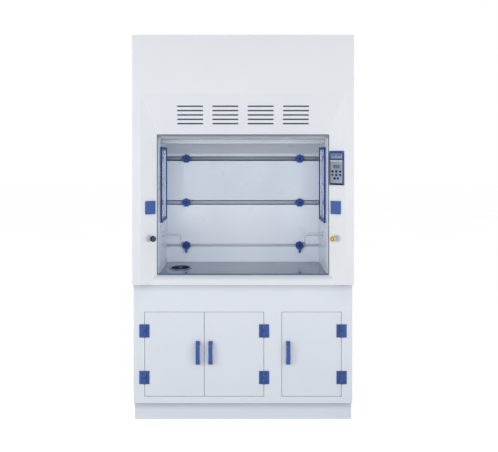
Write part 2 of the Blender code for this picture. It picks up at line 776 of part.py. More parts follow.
def make_star_knobs():
    """Five-lobed knobs: rings whose radius swells and sinks with the angle, from the bore to the domed face."""
    sides = 25

    def ring(radius, wave, y):
        points = []
        for k in range(sides):
            a = 2 * math.pi * k / sides
            r = radius * (1 + wave * math.cos(5 * a))
            points.append((r * math.sin(a), y, r * math.cos(a)))
        return points

    bore = STUD_R + SEAT
    bore_end = -(KNOB_DEPTH * 0.6 + SEAT)
    hub = KNOB_R * 0.5
    mean = KNOB_R / 1.12
    rings = [
        ring(bore, 0, bore_end),
        ring(bore, 0, -SEAT),
        ring(POST_R * 0.9, 0, -SEAT),
        ring(POST_R * 0.9, 0, -0.005),
        ring(mean, 0.12, -0.007),
        ring(mean, 0.12, -KNOB_DEPTH * 0.8),
        ring(mean * 0.88, 0.10, -KNOB_DEPTH * 0.95),
        ring(hub, 0, -KNOB_DEPTH),
    ]
    for level, z in zip(("lower", "middle", "upper"), SLOT_MIDDLES):
        for side, name in ((-1, "left"), (1, "right")):
            place = (side * KNOB_X, BAFFLE_Y, z)
            knob = loft(f"star_knob_{level}_{name}", BLUE, rings, place)
            if level == "lower":
                widths = (0.008, 0.005)
                tail = [
                    (place[0] - widths[0], z - 0.012),
                    (place[0] - widths[1], z - TAIL_LENGTH),
                    (place[0] + widths[1], z - TAIL_LENGTH),
                    (place[0] + widths[0], z - 0.012),
                ]
                lever = sheet(
                    knob.name + "_tail", None, tail, [], BAFFLE_Y - KNOB_DEPTH * 0.7, KNOB_DEPTH * 0.4, "Y"
                )
                boolean(knob, lever, "UNION")


def make_windows():
    for side, name in ((-1, "left"), (1, "right")):
        rim = rectangle(
            FRONT + WINDOW_D, WINDOW_BOTTOM, FRONT + WINDOW_D + WINDOW_W, WINDOW_BOTTOM + WINDOW_H
        )
        proud_x = LINER_HALF - SEAT
        low_x = proud_x - WINDOW_PROUD if side > 0 else -proud_x
        frame = sheet(
            "window_frame_" + name, BLUE, rounded(rim, 0.012), [window_hole(0)], low_x, WINDOW_PROUD, "X"
        )
        reach = SIDE - proud_x + WINDOW_PROUD / 2
        tube_x = SIDE - reach if side > 0 else -SIDE
        tube = sheet(
            f"window_tube_{name}", None, window_hole(WINDOW_TUBE), [window_hole(0)], tube_x, reach, "X"
        )
        boolean(frame, tube, "UNION")
        (y0, z0), _, (y1, z1), _ = window_hole(-SEAT)
        xs = sorted((side * LINER_HALF, side * (LINER_HALF + PANE_T)))
        block("window_pane_" + name, GLASS, (xs[0], y0, z0), (xs[1], y1, z1))


def make_sash():
    inside = SASH_HALF - SASH_STILE_W
    rail_top = SASH_BOTTOM + RAIL_H
    outline = [
        (-SASH_HALF, SASH_BOTTOM),
        (SASH_HALF, SASH_BOTTOM),
        (SASH_HALF, SASH_TOP),
        (inside, SASH_TOP),
        (inside, rail_top),
        (-inside, rail_top),
        (-inside, SASH_TOP),
        (-SASH_HALF, SASH_TOP),
    ]
    frame = sheet("sash_frame", GREY, outline, [], FRONT + SASH_FRONT_D, SASH_T, "Y")
    lip_front = FRONT + SASH_FRONT_D - LIP_REACH
    lip = block(
        "sash_lip",
        None,
        (-LINER_HALF + 0.020, lip_front, SASH_BOTTOM + 0.001),
        (LINER_HALF - 0.020, FRONT + SASH_FRONT_D + SASH_T / 2, SASH_BOTTOM + 0.001 + LIP_T),
    )
    boolean(frame, lip, "UNION")
    axis = pivot("sash_travel", (0, FRONT + SASH_MIDDLE_D, SASH_BOTTOM))
    pane = block(
        "sash_lower_pane",
        GLASS,
        (-inside + SEAT, FRONT + SASH_MIDDLE_D - PANE_T / 2, rail_top + SEAT),
        (inside - SEAT, FRONT + SASH_MIDDLE_D + PANE_T / 2, SASH_TOP),
    )
    carry(axis, frame, pane)
    upper_axis = pivot("upper_pane_travel", (0, FRONT + UPPER_PANE_D, SASH_BOTTOM))
    upper = block(
        "sash_upper_pane",
        GLASS,
        (-SASH_HALF, FRONT + UPPER_PANE_D, SASH_BOTTOM + 0.0025),
        (SASH_HALF, FRONT + UPPER_PANE_D + PANE_T, SASH_TOP),
    )
    carry(upper_axis, upper)


def make_balance():
    """Each side of the sash hangs on a cable that runs over a grooved pulley to an iron weight."""
    groove = PULLEY_RUN_R - CABLE_R - SEAT
    rim, half = PULLEY_RUN_R + 0.0045, PULLEY_T / 2
    bore = AXLE_R + SEAT
    profile = [
        (rim, half),
        (groove, 0.0022),
        (groove, -0.0022),
        (rim, -half),
        (bore, -half),
        (bore, half),
    ]
    y = FRONT + SASH_MIDDLE_D
    for side, name in ((-1, "left"), (1, "right")):
        middle = (side * PULLEY_X, y, PULLEY_Z)
        pulley = turned("pulley_" + name, GREY, profile, 24, middle, (math.pi / 2, 0, 0))
        carry(pivot(f"pulley_{name}_axis", middle), pulley)
        half_x, half_y = WEIGHT_SIZE[0] / 2, WEIGHT_SIZE[1] / 2
        x = side * WEIGHT_X
        weight = block(
            "counterweight_" + name,
            STEEL,
            (x - half_x, y - half_y, WEIGHT_BOTTOM),
            (x + half_x, y + half_y, WEIGHT_TOP),
        )
        round_edges(weight, 0.004, 2)
        carry(pivot(f"counterweight_{name}_travel", (x, y, WEIGHT_BOTTOM)), weight)
        route = [(side * CABLE_X, SASH_TOP + SEAT)]
        for k in range(13):
            a = math.pi * k / 12
            route.append(
                (side * (PULLEY_X - PULLEY_RUN_R * math.cos(a)), PULLEY_Z + PULLEY_RUN_R * math.sin(a))
            )
        route.append((side * WEIGHT_X, WEIGHT_TOP + SEAT))
        rope("sash_cable_" + name, STEEL, [(u, y, v) for u, v in route], CABLE_R, 1)


def rope(name, style, points, radius, resolution):
    """A round bar along a line of points, as a closed mesh."""
    curve = bpy.data.curves.new(name, "CURVE")
    curve.dimensions = "3D"
    curve.bevel_depth = radius
    curve.bevel_resolution = resolution
    curve.use_fill_caps = True
    spline = curve.splines.new("POLY")
    spline.points.add(len(points) - 1)
    for point, place in zip(spline.points, points):
        point.co = (*place, 1)
    drawn = bpy.data.objects.new(name + "_line", curve)
    bpy.context.scene.collection.objects.link(drawn)
    graph = bpy.context.evaluated_depsgraph_get()
    mesh = bpy.data.meshes.new_from_object(drawn.evaluated_get(graph))
    bpy.data.objects.remove(drawn, do_unlink=True)
    bm = bmesh.new()
    bm.from_mesh(mesh)
    bpy.data.meshes.remove(mesh)
    bmesh.ops.remove_doubles(bm, verts=bm.verts, dist=1e-6)
    return add(name, mesh_from(bm, name), style)


def make_duct():
    """The duct stands on the chamber's ceiling, passes the roof, and ends in a collar with a flange on the roof."""
    foot = CEILING_Z + SHEET + SEAT
    top = BODY_TOP + COLLAR_H
    flange = BODY_TOP + SEAT
    inner = DUCT_R - DUCT_WALL
    profile = [
        (DUCT_R, top),
        (DUCT_R, flange + DUCT_WALL),
        (DUCT_R + COLLAR_FLANGE, flange + DUCT_WALL),
        (DUCT_R + COLLAR_FLANGE, flange),
        (DUCT_R, flange),
        (DUCT_R, foot),
        (inner, foot),
        (inner, top),
    ]
    turned("exhaust_duct", GREY, profile, 36, (0, FRONT + DUCT_D, 0))


def make_spouts():
    for side, name in ((-1, "left"), (1, "right")):
        wall_x = side * (LINER_HALF - SEAT)
        tip_x = side * (LINER_HALF - SPOUT_REACH)
        y = FRONT + SPOUT_D
        route = [(wall_x, y, SPOUT_Z)]
        for k in range(7):
            a = math.pi / 2 * k / 6
            x = tip_x + side * SPOUT_BEND * (1 - math.sin(a))
            route.append((x, y, SPOUT_Z - SPOUT_BEND * (1 - math.cos(a))))
        route.append((tip_x, y, SPOUT_Z - SPOUT_DROP))
        spout = rope("spout_" + name, WHITE, route, SPOUT_R, 2)
        turn = (0, side * -math.pi / 2, 0)
        flange = disc(spout.name + "_flange", None, 0.018, 0, 0.006, 20, (wall_x, y, SPOUT_Z), turn)
        boolean(spout, flange, "UNION")
        tip = disc(spout.name + "_tip", None, SPOUT_R + 0.002, -0.012, 0, 16, (tip_x, y, SPOUT_Z - SPOUT_DROP + 0.006))
        boolean(spout, tip, "UNION")


def on_bevel(side, z, along=0.0):
    """Place and turn of a piece on a post's bevel, where local -Y points out of the bevel."""
    x, y = BEVEL_MIDDLE
    turn = -side * BEVEL_TURN
    place = Vector((side * x, y, z)) + Matrix.Rotation(turn, 3, "Z") @ Vector((along, 0, 0))
    return place, (0, 0, turn)


def make_valves():
    sides = 24

    def ring(radius, wave, y):
        angles = [2 * math.pi * k / sides for k in range(sides)]
        radii = [radius * (1 + wave * math.cos(6 * a)) for a in angles]
        return [(r * math.sin(a), y, r * math.cos(a)) for r, a in zip(radii, angles)]

    rings = [
        ring(VALVE_R, 0, -SEAT),
        ring(VALVE_R, 0, -0.003),
        ring(VALVE_R * 0.72, 0, -0.005),
        ring(VALVE_R * 0.72, 0, -0.009),
        ring(VALVE_R * 0.90, 0.06, -0.011),
        ring(VALVE_R * 0.86, 0.06, -VALVE_REACH + 0.003),
        ring(VALVE_R * 0.70, 0, -VALVE_REACH),
    ]
    for side, name, style in ((-1, "left", DARK), (1, "right", YELLOW)):
        place, turn = on_bevel(side, VALVE_Z)
        loft("valve_knob_" + name, style, rings, place, turn)


def make_sockets():
    """A surface box with a shallow round well, and a flip cover on a barrel along its top."""
    half, tall = SOCKET_W / 2, SOCKET_H / 2
    barrel_z = tall - COVER_HINGE_R
    for side, name in ((-1, "left"), (1, "right")):
        place, turn = on_bevel(side, SOCKET_Z, -side * SOCKET_SHIFT)
        body = sheet("socket_" + name, BLUE, rounded(rectangle(-half, -tall, half, tall), 0.004), [], 0, SOCKET_T, "Y")
        body.data.transform(Matrix.Translation((0, 0, SOCKET_T / 2 + SEAT)))
        body.location, body.rotation_euler = place, (math.pi / 2, 0, turn[2])
        depth = SOCKET_BOX_DEPTH
        stand = (math.pi / 2, 0, turn[2])
        rear = disc(body.name + "_box", None, SOCKET_BOX / 2, -depth, SOCKET_T / 2, 24, place, stand)
        boolean(body, rear, "UNION")
        well_low, well_high = SOCKET_T - SOCKET_WELL_DEPTH, 2 * SOCKET_T
        well = disc(body.name + "_well", None, SOCKET_WELL_R, well_low, well_high, 20, place, stand)
        boolean(body, well, "DIFFERENCE")
        face = -SOCKET_T - 2 * SEAT
        barrel_y = face - COVER_HINGE_R
        low = -tall
        outline = rounded(rectangle(-half, low, half, barrel_z), 0.004)
        cover = sheet("socket_cover_" + name, BLUE, outline, [], 0, COVER_T, "Y")
        cover.data.transform(Matrix.Translation((0, -barrel_z, COVER_T / 2 - COVER_HINGE_R)))
        hinge = Matrix.Rotation(turn[2], 3, "Z") @ Vector((0, barrel_y, barrel_z)) + place
        cover.location, cover.rotation_euler = hinge, (math.pi / 2, 0, turn[2])
        barrel = disc(cover.name + "_barrel", None, COVER_HINGE_R, -half, half, 12, hinge, (0, math.pi / 2, turn[2]))
        boolean(cover, barrel, "UNION")


def make_control_panel():
    """A housing with a window recess, a small display recess and raised membrane keys."""
    place, turn = on_bevel(1, PANEL_Z)
    stand = (math.pi / 2, 0, turn[2])
    half, tall = PANEL_W / 2, PANEL_H / 2
    body = sheet("control_panel", DARK, rounded(rectangle(-half, -tall, half, tall), 0.006), [], 0, PANEL_T, "Y")
    body.data.transform(Matrix.Translation((0, 0, PANEL_T / 2 + SEAT)))
    body.location, body.rotation_euler = place, stand
    face = PANEL_T + SEAT

    def pad(name, u, v, width, height, low, high):
        part = block(name, None, (u - width / 2, v - height / 2, low), (u + width / 2, v + height / 2, high))
        part.data.transform(Matrix.Translation(part.location))
        part.location, part.rotation_euler = place, stand
        return part

    boolean(body, pad("window_recess", 0, 0.066, 0.076, 0.028, face - 0.0015, face + 0.01), "DIFFERENCE")
    boolean(body, pad("display_recess", 0, 0.007, 0.042, 0.019, face - 0.0015, face + 0.01), "DIFFERENCE")
    keys = [(column * 0.0255, -0.021) for column in (-1, 0, 1)]
    keys += [(column * 0.0255, -0.040) for column in (-1, 0, 1)]
    keys += [(column * 0.0105, -0.060) for column in (-1, 1)]
    for count, (u, v) in enumerate(keys):
        boolean(body, pad(f"key_{count}", u, v, 0.013, 0.011, face - KEY_T, face + KEY_T), "UNION")


make_base()
make_front_frame()
make_doors()
make_hood_shell()
make_back_panel()
make_fascia()
make_worktop()
make_sink()
make_chamber()
make_star_knobs()
make_windows()
make_sash()
make_balance()
make_duct()
make_spouts()
make_valves()
make_sockets()
make_control_panel()
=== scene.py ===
"""Looks of the ducted fume hood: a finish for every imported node, the small trim, camera, floor and light."""

import math

import bmesh
import bpy
import numpy as np
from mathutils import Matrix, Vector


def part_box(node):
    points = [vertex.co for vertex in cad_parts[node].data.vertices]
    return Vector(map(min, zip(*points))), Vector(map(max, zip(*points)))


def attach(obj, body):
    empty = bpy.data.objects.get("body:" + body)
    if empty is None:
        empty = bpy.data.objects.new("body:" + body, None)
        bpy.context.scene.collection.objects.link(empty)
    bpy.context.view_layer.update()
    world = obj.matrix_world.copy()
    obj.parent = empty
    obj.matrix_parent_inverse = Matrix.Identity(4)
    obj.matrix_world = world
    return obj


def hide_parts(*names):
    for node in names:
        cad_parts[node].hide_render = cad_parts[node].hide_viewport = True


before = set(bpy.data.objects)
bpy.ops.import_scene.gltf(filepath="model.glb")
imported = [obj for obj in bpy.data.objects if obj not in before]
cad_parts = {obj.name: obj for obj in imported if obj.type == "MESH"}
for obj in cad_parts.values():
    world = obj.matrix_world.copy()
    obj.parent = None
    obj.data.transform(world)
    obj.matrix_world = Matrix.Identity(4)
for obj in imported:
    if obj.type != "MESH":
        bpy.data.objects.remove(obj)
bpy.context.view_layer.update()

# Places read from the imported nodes, in metres.
SHEET = 0.008
BAFFLE_D = 0.600
BAFFLE_T = 0.008
BAFFLE_LEAN = 0.104
GUIDES_D = 0.108
LAMP_FRONT = 0.236
LAMP_BACK = 0.357
PLINTH_D = 0.118
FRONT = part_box("baffle_lower")[0].y - BAFFLE_D
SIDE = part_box("hood_right_side")[1].x
CREASE = 0.571
OPENING_HALF = 0.487
OPENING_TOP = 1.630
BEVEL_D = 0.065
BEVEL_TURN = math.atan2(BEVEL_D, CREASE - OPENING_HALF)
BEVEL_X = (CREASE + OPENING_HALF) / 2
BEVEL_Y = FRONT + BEVEL_D / 2
WORKTOP_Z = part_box("worktop")[1].z
CEILING_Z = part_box("ceiling_panel")[0].z
CABINET_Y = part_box("cabinet_front_frame")[0].y
BACK_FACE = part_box("back_panel")[1].y - SHEET
LINER_HALF = 0.480
SPOUT_REACH = 0.114
PANEL_Z = 1.442
PANEL_FACE = 0.0073
PANEL_SUNK = 0.0058
PANEL_SPLIT_V = 0.0433
PRISM_PITCH = 0.004935
PAINT_CLEAR = 0.0003
STAR_R = 0.0285
STAR_MEAN = 0.0252
STAR_WAVE = 0.055
STAR_LOBES = 7
STAR_BORE = 0.0053
STAR_X = 0.357
POST_CLEAR = 0.024
HEADER_TOP = 1.855
LOUVRE_MIDDLE_Z = 1.7391
LOUVRE_GROUP_PITCH = 0.1986
LOUVRE_SHADE_SIZE = (0.160, 0.118)
SILL_D = 0.046
SILL_DEPTH = 0.030
SILL_NOSE_Z = 0.803
SILL_BOTTOM = 0.779
BODY_BOTTOM = 0.786
GUSSET_T = 0.004
GUSSET_D = SILL_D + 0.002
SLOT_RAILS = (("lower", 0.9435, 0.0120), ("middle", 1.2128, 0.0190), ("upper", 1.4915, 0.0190))
VALVE_Z = 1.045
FLANGE_T = 0.0053
FLANGE_SCREW_R = 0.134
COLLAR_R = 0.1255
STRAINER_DEPTH = 0.1105
STRAINER_R = 0.0175
STRAINER_PITCH = 0.006
CABLE_X = 0.500
LEAF_T = 0.003
KNUCKLE_R = 0.006
SIDES = ((-1, "left"), (1, "right"))

# Camera: a level view square to the front, its station and frame measured from the photograph.
CAMERA_DISTANCE = 4.65
CAMERA_Z = 1.525
FRAME_PIXELS = 498
PIXEL = 0.005588
VANISHING_COLUMN = 243.0
VANISHING_ROW = 153.0
FRAME_CENTRE = (249.0, 226.0)
SENSOR = 36.0

# Light: the world's level, then each lamp's name, place, width and height, and power.
AMBIENT = 0.40
LAMP_AIM = (0.0, 0.0, 1.2)
LAMPS = (
    ("front_light", (-0.3, -5.4, 1.5), (5.0, 1.3), 74.0),
    ("left_light", (-2.7, -2.9, 1.5), (1.4, 1.6), 30.0),
    ("right_light", (2.6, -2.9, 1.5), (1.4, 1.6), 25.0),
    ("top_light", (0.3, -2.2, 4.6), (2.5, 2.5), 14.0),
)


def linear(red, green, blue):
    """The linear colour of an 8-bit screen colour, alpha 1: ((c + 0.055) / 1.055) ** 2.4 above the toe."""
    values = np.array([red, green, blue]) / 255
    toe = values / 12.92
    curve = ((values + 0.055) / 1.055) ** 2.4
    return (*np.where(values > 0.04045, curve, toe).tolist(), 1.0)


def add_node(tree, kind, inputs=None, **settings):
    """A node with its settings, whose inputs are linked to sockets or set to values."""
    made = tree.nodes.new(kind)
    for key, value in settings.items():
        setattr(made, key, value)
    for key, value in (inputs or {}).items():
        if isinstance(value, bpy.types.NodeSocket):
            tree.links.new(value, made.inputs[key])
        else:
            made.inputs[key].default_value = value
    return made


MATT = {"Specular_IOR_Level": 0.25}


class Finish:
    """A node material under construction, with the few operations that the finishes share."""

    def __init__(self, name, **constants):
        self.material = bpy.data.materials.new(name)
        self.material.use_nodes = True
        self.tree = self.material.node_tree
        self.shader = self.tree.nodes["Principled BSDF"]
        self.place = self.node("ShaderNodeTexCoord").outputs["Object"]
        for socket, value in constants.items():
            self.shader.inputs[socket.replace("_", " ")].default_value = value

    def node(self, kind, inputs=None, **settings):
        return add_node(self.tree, kind, inputs, **settings)

    def drive(self, socket, value):
        self.tree.links.new(value, self.shader.inputs[socket])

    def stretched(self, stretch, origin=(0, 0, 0)):
        """Object coordinates less an origin, times a stretch on each axis."""
        shifted = self.node("ShaderNodeVectorMath", {0: self.place, 1: origin}, operation="SUBTRACT")
        scaled = self.node("ShaderNodeVectorMath", {0: shifted.outputs[0], 1: stretch}, operation="MULTIPLY")
        return scaled.outputs[0]

    def dot(self, first, second):
        inputs = {0: first, 1: second}
        return self.node("ShaderNodeVectorMath", inputs, operation="DOT_PRODUCT").outputs["Value"]

    def noise(self, scale, detail=3.0, stretch=(1, 1, 1)):
        inputs = {"Vector": self.stretched(stretch), "Scale": scale, "Detail": detail}
        return self.node("ShaderNodeTexNoise", inputs).outputs["Fac"]

    def span(self, value, low, high, start=0.3, end=0.7):
        """value from start to end becomes low to high, clamped."""
        inputs = {"Value": value, "From Min": start, "From Max": end, "To Min": low, "To Max": high}
        return self.node("ShaderNodeMapRange", inputs).outputs["Result"]

    def math(self, operation, first, second=0.0):
        return self.node("ShaderNodeMath", {0: first, 1: second}, operation=operation).outputs[0]

    def mixed(self, share, first, second):
        """The colour first where share is 0 and second where it is 1."""
        return self.node("ShaderNodeMix", {0: share, 6: first, 7: second}, data_type="RGBA").outputs[2]

    def edges(self, radius):
        """1 on an edge and 0 on a flat: how far the normal rounded over radius leans from the face's own."""
        rounded = self.node("ShaderNodeBevel", {"Radius": radius}, samples=4).outputs[0]
        flat = self.node("ShaderNodeNewGeometry").outputs["Normal"]
        return self.span(self.dot(rounded, flat), 1.0, 0.0, 0.75, 0.995)

    def bump(self, layers):
        """Bump layers (height, strength, distance), each on top of the one before."""
        normal = None
        for height, strength, distance in layers:
            inputs = {"Height": height, "Strength": strength, "Distance": distance}
            if normal is not None:
                inputs["Normal"] = normal
            normal = self.node("ShaderNodeBump", inputs).outputs[0]
        self.drive("Normal", normal)


def plastic(name, main, shade, scuff_and_highlight_tint, rough, grain, depth, second=None, painted_light_by_facing=(), painted_shade=(), **constants):
    """Moulded or sheet plastic: slow drift between two tints, fine grain, scuffed edges in a third tint, which
    on the navy valve handle and the star grips is a painted highlight as well as scuffing.

    second is (direction, origin, tint): whatever lies ahead of origin along direction has that tint instead.
    Painted light and shade by the way faces lean, a list of (axis, start, end, tint): faces that lean along
    axis from start to end take that tint.
    Painted shade under an overhang, a list of (top, reach, tint): that tint just below the height top, fading
    out over reach below it."""
    made = Finish(name, **constants)
    drift = made.span(made.noise(2.2, 4.0), 0.0, 1.0)
    fine = made.noise(grain, 2.0)
    colour = made.mixed(drift, linear(*main), linear(*shade))
    if second is not None:
        direction, origin, tint = second
        share = made.span(made.dot(made.stretched((1, 1, 1), origin), direction), 0.0, 1.0, 0.0, 0.0001)
        colour = made.mixed(share, colour, linear(*tint))
    normal = made.node("ShaderNodeTexCoord").outputs["Normal"] if painted_light_by_facing else None
    # Painted light and shade: a tint by the way each face leans, lighter on the fascia's bevels, darker on
    # faces that lean up.
    for axis, start, end, tint in painted_light_by_facing:
        colour = made.mixed(made.span(made.dot(normal, axis), 0.0, 1.0, start, end), colour, linear(*tint))
    # Painted shade: a band just below a height, standing in for the shade under an overhang.
    for top, reach, tint in painted_shade:
        up = made.dot(made.place, (0, 0, 1))
        below = made.math("LESS_THAN", up, top)
        share = made.math("MULTIPLY", below, made.span(up, 0.0, 1.0, top - reach, top))
        colour = made.mixed(share, colour, linear(*tint))
    scuffs = made.span(made.noise(38.0, 5.0), 0.15, 1.0, 0.42, 0.62)
    # Scuffed edges, which on the navy valve handle and the star grips also paint a highlight.
    scuff_and_highlight_mask = made.math("MULTIPLY", made.edges(0.0018), scuffs)
    made.drive("Base Color", made.mixed(scuff_and_highlight_mask, colour, linear(*scuff_and_highlight_tint)))
    base = made.span(made.noise(9.0, 5.0), rough - 0.05, rough + 0.06)
    made.drive("Roughness", made.math("ADD", base, made.math("MULTIPLY", scuff_and_highlight_mask, 0.12)))
    made.bump([(made.noise(14.0, 2.0), 0.12, 0.0006), (fine, 0.30, depth)])
    return made.material


def window_finish(side):
    """The window frame's blue rim, and the tube that carries on from it behind the liner in near white, paler
    than the body: its own pale colour with painted light on it.
    """
    # The tube's near white tint is partly painted light, for the brightly lit reveal of the window.
    tube = ((side, 0, 0), (side * LINER_HALF, 0, 0), (253, 254, 255))
    name = "window_rim_left" if side < 0 else "window_rim_right"
    tints = (34, 68, 150), (28, 58, 134), (70, 100, 174)
    return plastic(name, *tints, 0.42, 1300, 0.0002, second=tube, **MATT)


def worktop_finish():
    """Glossy solid surface: fine flecks in grey, with faint wipe marks in the polish."""
    made = Finish("worktop_surface", Coat_Weight=0.12, Coat_Roughness=0.04, IOR=1.4)
    cells = made.node("ShaderNodeTexVoronoi", {"Vector": made.place, "Scale": 420.0})
    flecks = made.span(cells.outputs["Distance"], 0.0, 1.0, 0.15, 0.55)
    drift = made.span(made.noise(3.0, 4.0), 0.0, 1.0)
    base = made.mixed(drift, linear(74, 93, 122), linear(84, 103, 132))
    made.drive("Base Color", made.mixed(flecks, linear(58, 75, 103), base))
    wiped = made.noise(6.0, 6.0, (1.0, 7.0, 1.0))
    made.drive("Roughness", made.span(wiped, 0.10, 0.20))
    made.bump([(made.noise(25.0, 2.0), 0.05, 0.0004), (made.noise(700.0, 1.0), 0.08, 0.0001)])
    return made.material


def lamp_finish():
    """Opal diffuser moulded with fine prisms: a square grid of waves, scale 2 pi / (20 pitch)."""
    made = Finish("opal_diffuser", Subsurface_Weight=0.15, Subsurface_Scale=0.01)
    pitch = {"Vector": made.place, "Scale": math.tau / 20 / PRISM_PITCH}
    ribs = made.node("ShaderNodeTexWave", pitch, wave_type="BANDS", bands_direction="X").outputs["Fac"]
    rows = made.node("ShaderNodeTexWave", pitch, wave_type="BANDS", bands_direction="Y").outputs["Fac"]
    drift = made.span(made.noise(4.0), 0.0, 1.0)
    made.drive("Base Color", made.mixed(drift, linear(186, 192, 198), linear(195, 200, 205)))
    made.drive("Roughness", made.span(made.noise(60.0), 0.28, 0.42))
    made.bump([(ribs, 0.25, 0.0005), (rows, 0.25, 0.0005)])
    return made.material


def pane_finish(name, tint, clean=0.0, filmed=0.035):
    """Glass that lets lamp rays through, its roughness from clean to filmed in slow patches."""
    made = Finish(name, Transmission_Weight=1.0, IOR=1.46, Specular_Tint=(0.3, 0.3, 0.3, 1.0))
    drift = made.span(made.noise(3.0, 4.0), 0.0, 1.0)
    made.drive("Base Color", made.mixed(drift, linear(*tint), linear(250, 253, 253)))
    made.drive("Roughness", made.span(made.noise(12.0, 6.0), clean, filmed))
    path = made.node("ShaderNodeLightPath").outputs["Is Shadow Ray"]
    through = made.node("ShaderNodeBsdfTransparent", {"Color": linear(244, 248, 249)}).outputs[0]
    either = made.node("ShaderNodeMixShader", {0: path, 1: made.shader.outputs[0], 2: through}).outputs[0]
    made.tree.links.new(either, made.tree.nodes["Material Output"].inputs["Surface"])
    return made.material


def iron_finish():
    """Cast weights under grey paint: lumpy skin, chips to dark iron on the corners."""
    made = Finish("painted_iron", Metallic=0.2)
    skin = made.noise(55.0, 6.0)
    chips = made.math("MULTIPLY", made.edges(0.003), made.span(made.noise(90.0, 4.0), 0.0, 1.0, 0.45, 0.55))
    drift = made.mixed(made.span(skin, 0.0, 1.0), linear(104, 108, 114), linear(122, 126, 131))
    made.drive("Base Color", made.mixed(chips, drift, linear(60, 52, 48)))
    made.drive("Roughness", made.span(skin, 0.42, 0.62))
    made.bump([(skin, 0.35, 0.0008)])
    return made.material


def wire_finish():
    """Stranded wire rope: bright bands that climb along it, dark between the strands."""
    made = Finish("wire_rope", Metallic=0.9)
    across = made.stretched((1.0, 1.0, 0.45))
    lay = {"Vector": across, "Scale": 560.0}
    bands = {"wave_type": "BANDS", "bands_direction": "DIAGONAL"}
    strands = made.node("ShaderNodeTexWave", lay, **bands).outputs["Fac"]
    made.drive("Base Color", made.mixed(strands, linear(92, 94, 98), linear(176, 178, 182)))
    made.drive("Roughness", made.span(made.noise(200.0), 0.28, 0.45))
    made.bump([(strands, 0.6, 0.0004)])
    return made.material


def steel_finish():
    """Zinced steel: small crystalline patches and light scratches."""
    made = Finish("zinced_steel", Metallic=0.85)
    cells = made.node("ShaderNodeTexVoronoi", {"Vector": made.place, "Scale": 160.0}, feature="F1")
    patch = made.span(cells.outputs["Distance"], 0.0, 1.0, 0.1, 0.7)
    made.drive("Base Color", made.mixed(patch, linear(168, 172, 178), linear(146, 150, 157)))
    scratch = made.noise(40.0, 6.0, (1.0, 1.0, 14.0))
    made.drive("Roughness", made.span(scratch, 0.26, 0.46))
    made.bump([(scratch, 0.12, 0.0002)])
    return made.material


def pulley_finish(name, centre):
    """Turned nylon: tool rings about the axle, a wave of the distance from it."""
    made = Finish(name)
    where = made.stretched((1, 1, 1), centre)
    rings = {"Vector": where, "Scale": 300.0}
    lines = made.node("ShaderNodeTexWave", rings, wave_type="RINGS", rings_direction="Y").outputs["Fac"]
    drift = made.span(made.noise(30.0), 0.0, 1.0)
    made.drive("Base Color", made.mixed(drift, linear(150, 154, 160), linear(171, 174, 179)))
    made.drive("Roughness", made.span(made.noise(70.0), 0.34, 0.5))
    made.bump([(lines, 0.2, 0.0002)])
    return made.material


def floor_finish():
    """Pale floor, white to the camera, that keeps the shadow: plain matte plus a share of even white."""
    made = Finish("studio_floor")
    made.shader.inputs["Specular IOR Level"].default_value = 0.0
    made.shader.inputs["Roughness"].default_value = 1.0
    drift = made.span(made.noise(0.8), 0.0, 1.0)
    made.drive("Base Color", made.mixed(drift, linear(232, 232, 232), linear(236, 236, 236)))
    path = made.node("ShaderNodeLightPath")
    seen = made.math("MAXIMUM", path.outputs["Is Camera Ray"], path.outputs["Is Glossy Ray"])
    seen = made.math("MAXIMUM", seen, path.outputs["Is Transmission Ray"])
    white = made.node("ShaderNodeEmission", {"Strength": made.math("MULTIPLY", seen, 0.66)}).outputs[0]
    both = made.node("ShaderNodeAddShader", {0: made.shader.outputs[0], 1: white}).outputs[0]
    made.tree.links.new(both, made.tree.nodes["Material Output"].inputs["Surface"])
    return made.material


# Rows of a plastic: main, shaded and edge tint, roughness, grain and its depth; the edge tint marks scuffs, and
# on the navy valve handle and the star grips also paints a highlight.
BODY_SHEET = ((219, 222, 227), (216, 220, 226), (232, 234, 237), 0.36, 900, 0.00012)
CABINET_SHEET = ((217, 222, 230), (213, 219, 228), *BODY_SHEET[2:])
DOOR_SHEET = (*CABINET_SHEET[:3], 0.34, *CABINET_SHEET[4:])
SINK_ROW = ((118, 128, 146), (104, 114, 134), (150, 158, 172), 0.24, 800, 0.0001)
PANEL_ROW = ((44, 82, 145), (38, 72, 127), (30, 40, 76), 0.46, 1500, 0.0002)
FOOT_ROW = ((4, 14, 52), (3, 10, 42), (18, 28, 70), 0.62, 1500, 0.0002)
# Painted light and shade on the fascia: its bevels, which lean along x, painted lighter, and faces that lean
# up, such as the sill's rounded nose, painted darker in two steps.
POST_PAINTED_LIGHT = (231, 234, 239)
FASCIA_PAINTED_LIGHT = (
    ((-1, 0, 0), 0.4, 0.5, POST_PAINTED_LIGHT),
    ((1, 0, 0), 0.4, 0.5, POST_PAINTED_LIGHT),
    ((0, 0, 1), 0.08, 0.22, (203, 210, 221)),
    ((0, 0, 1), 0.50, 0.85, (190, 198, 212)),
)
# Painted shade on the cabinet: a band under the hood's overhang, and one on the plinth under the frame's lower
# edge.
CABINET_TOP = 0.775
PLINTH_TOP = 0.0955
CABINET_PAINTED_SHADE = ((CABINET_TOP, 0.035, (192, 200, 211)), (PLINTH_TOP, 0.040, (176, 186, 201)))
PAINTED = ((0, -1, 0), (0, CABINET_Y - PAINT_CLEAR, 0), (46, 76, 142))
SUNK = ((0, 0, -1), (0, 0, WORKTOP_Z + 0.001), (36, 52, 96))
LOWER_PANEL = ((0, 0, -1), (0, 0, PANEL_Z + PANEL_SPLIT_V), (76, 91, 118))
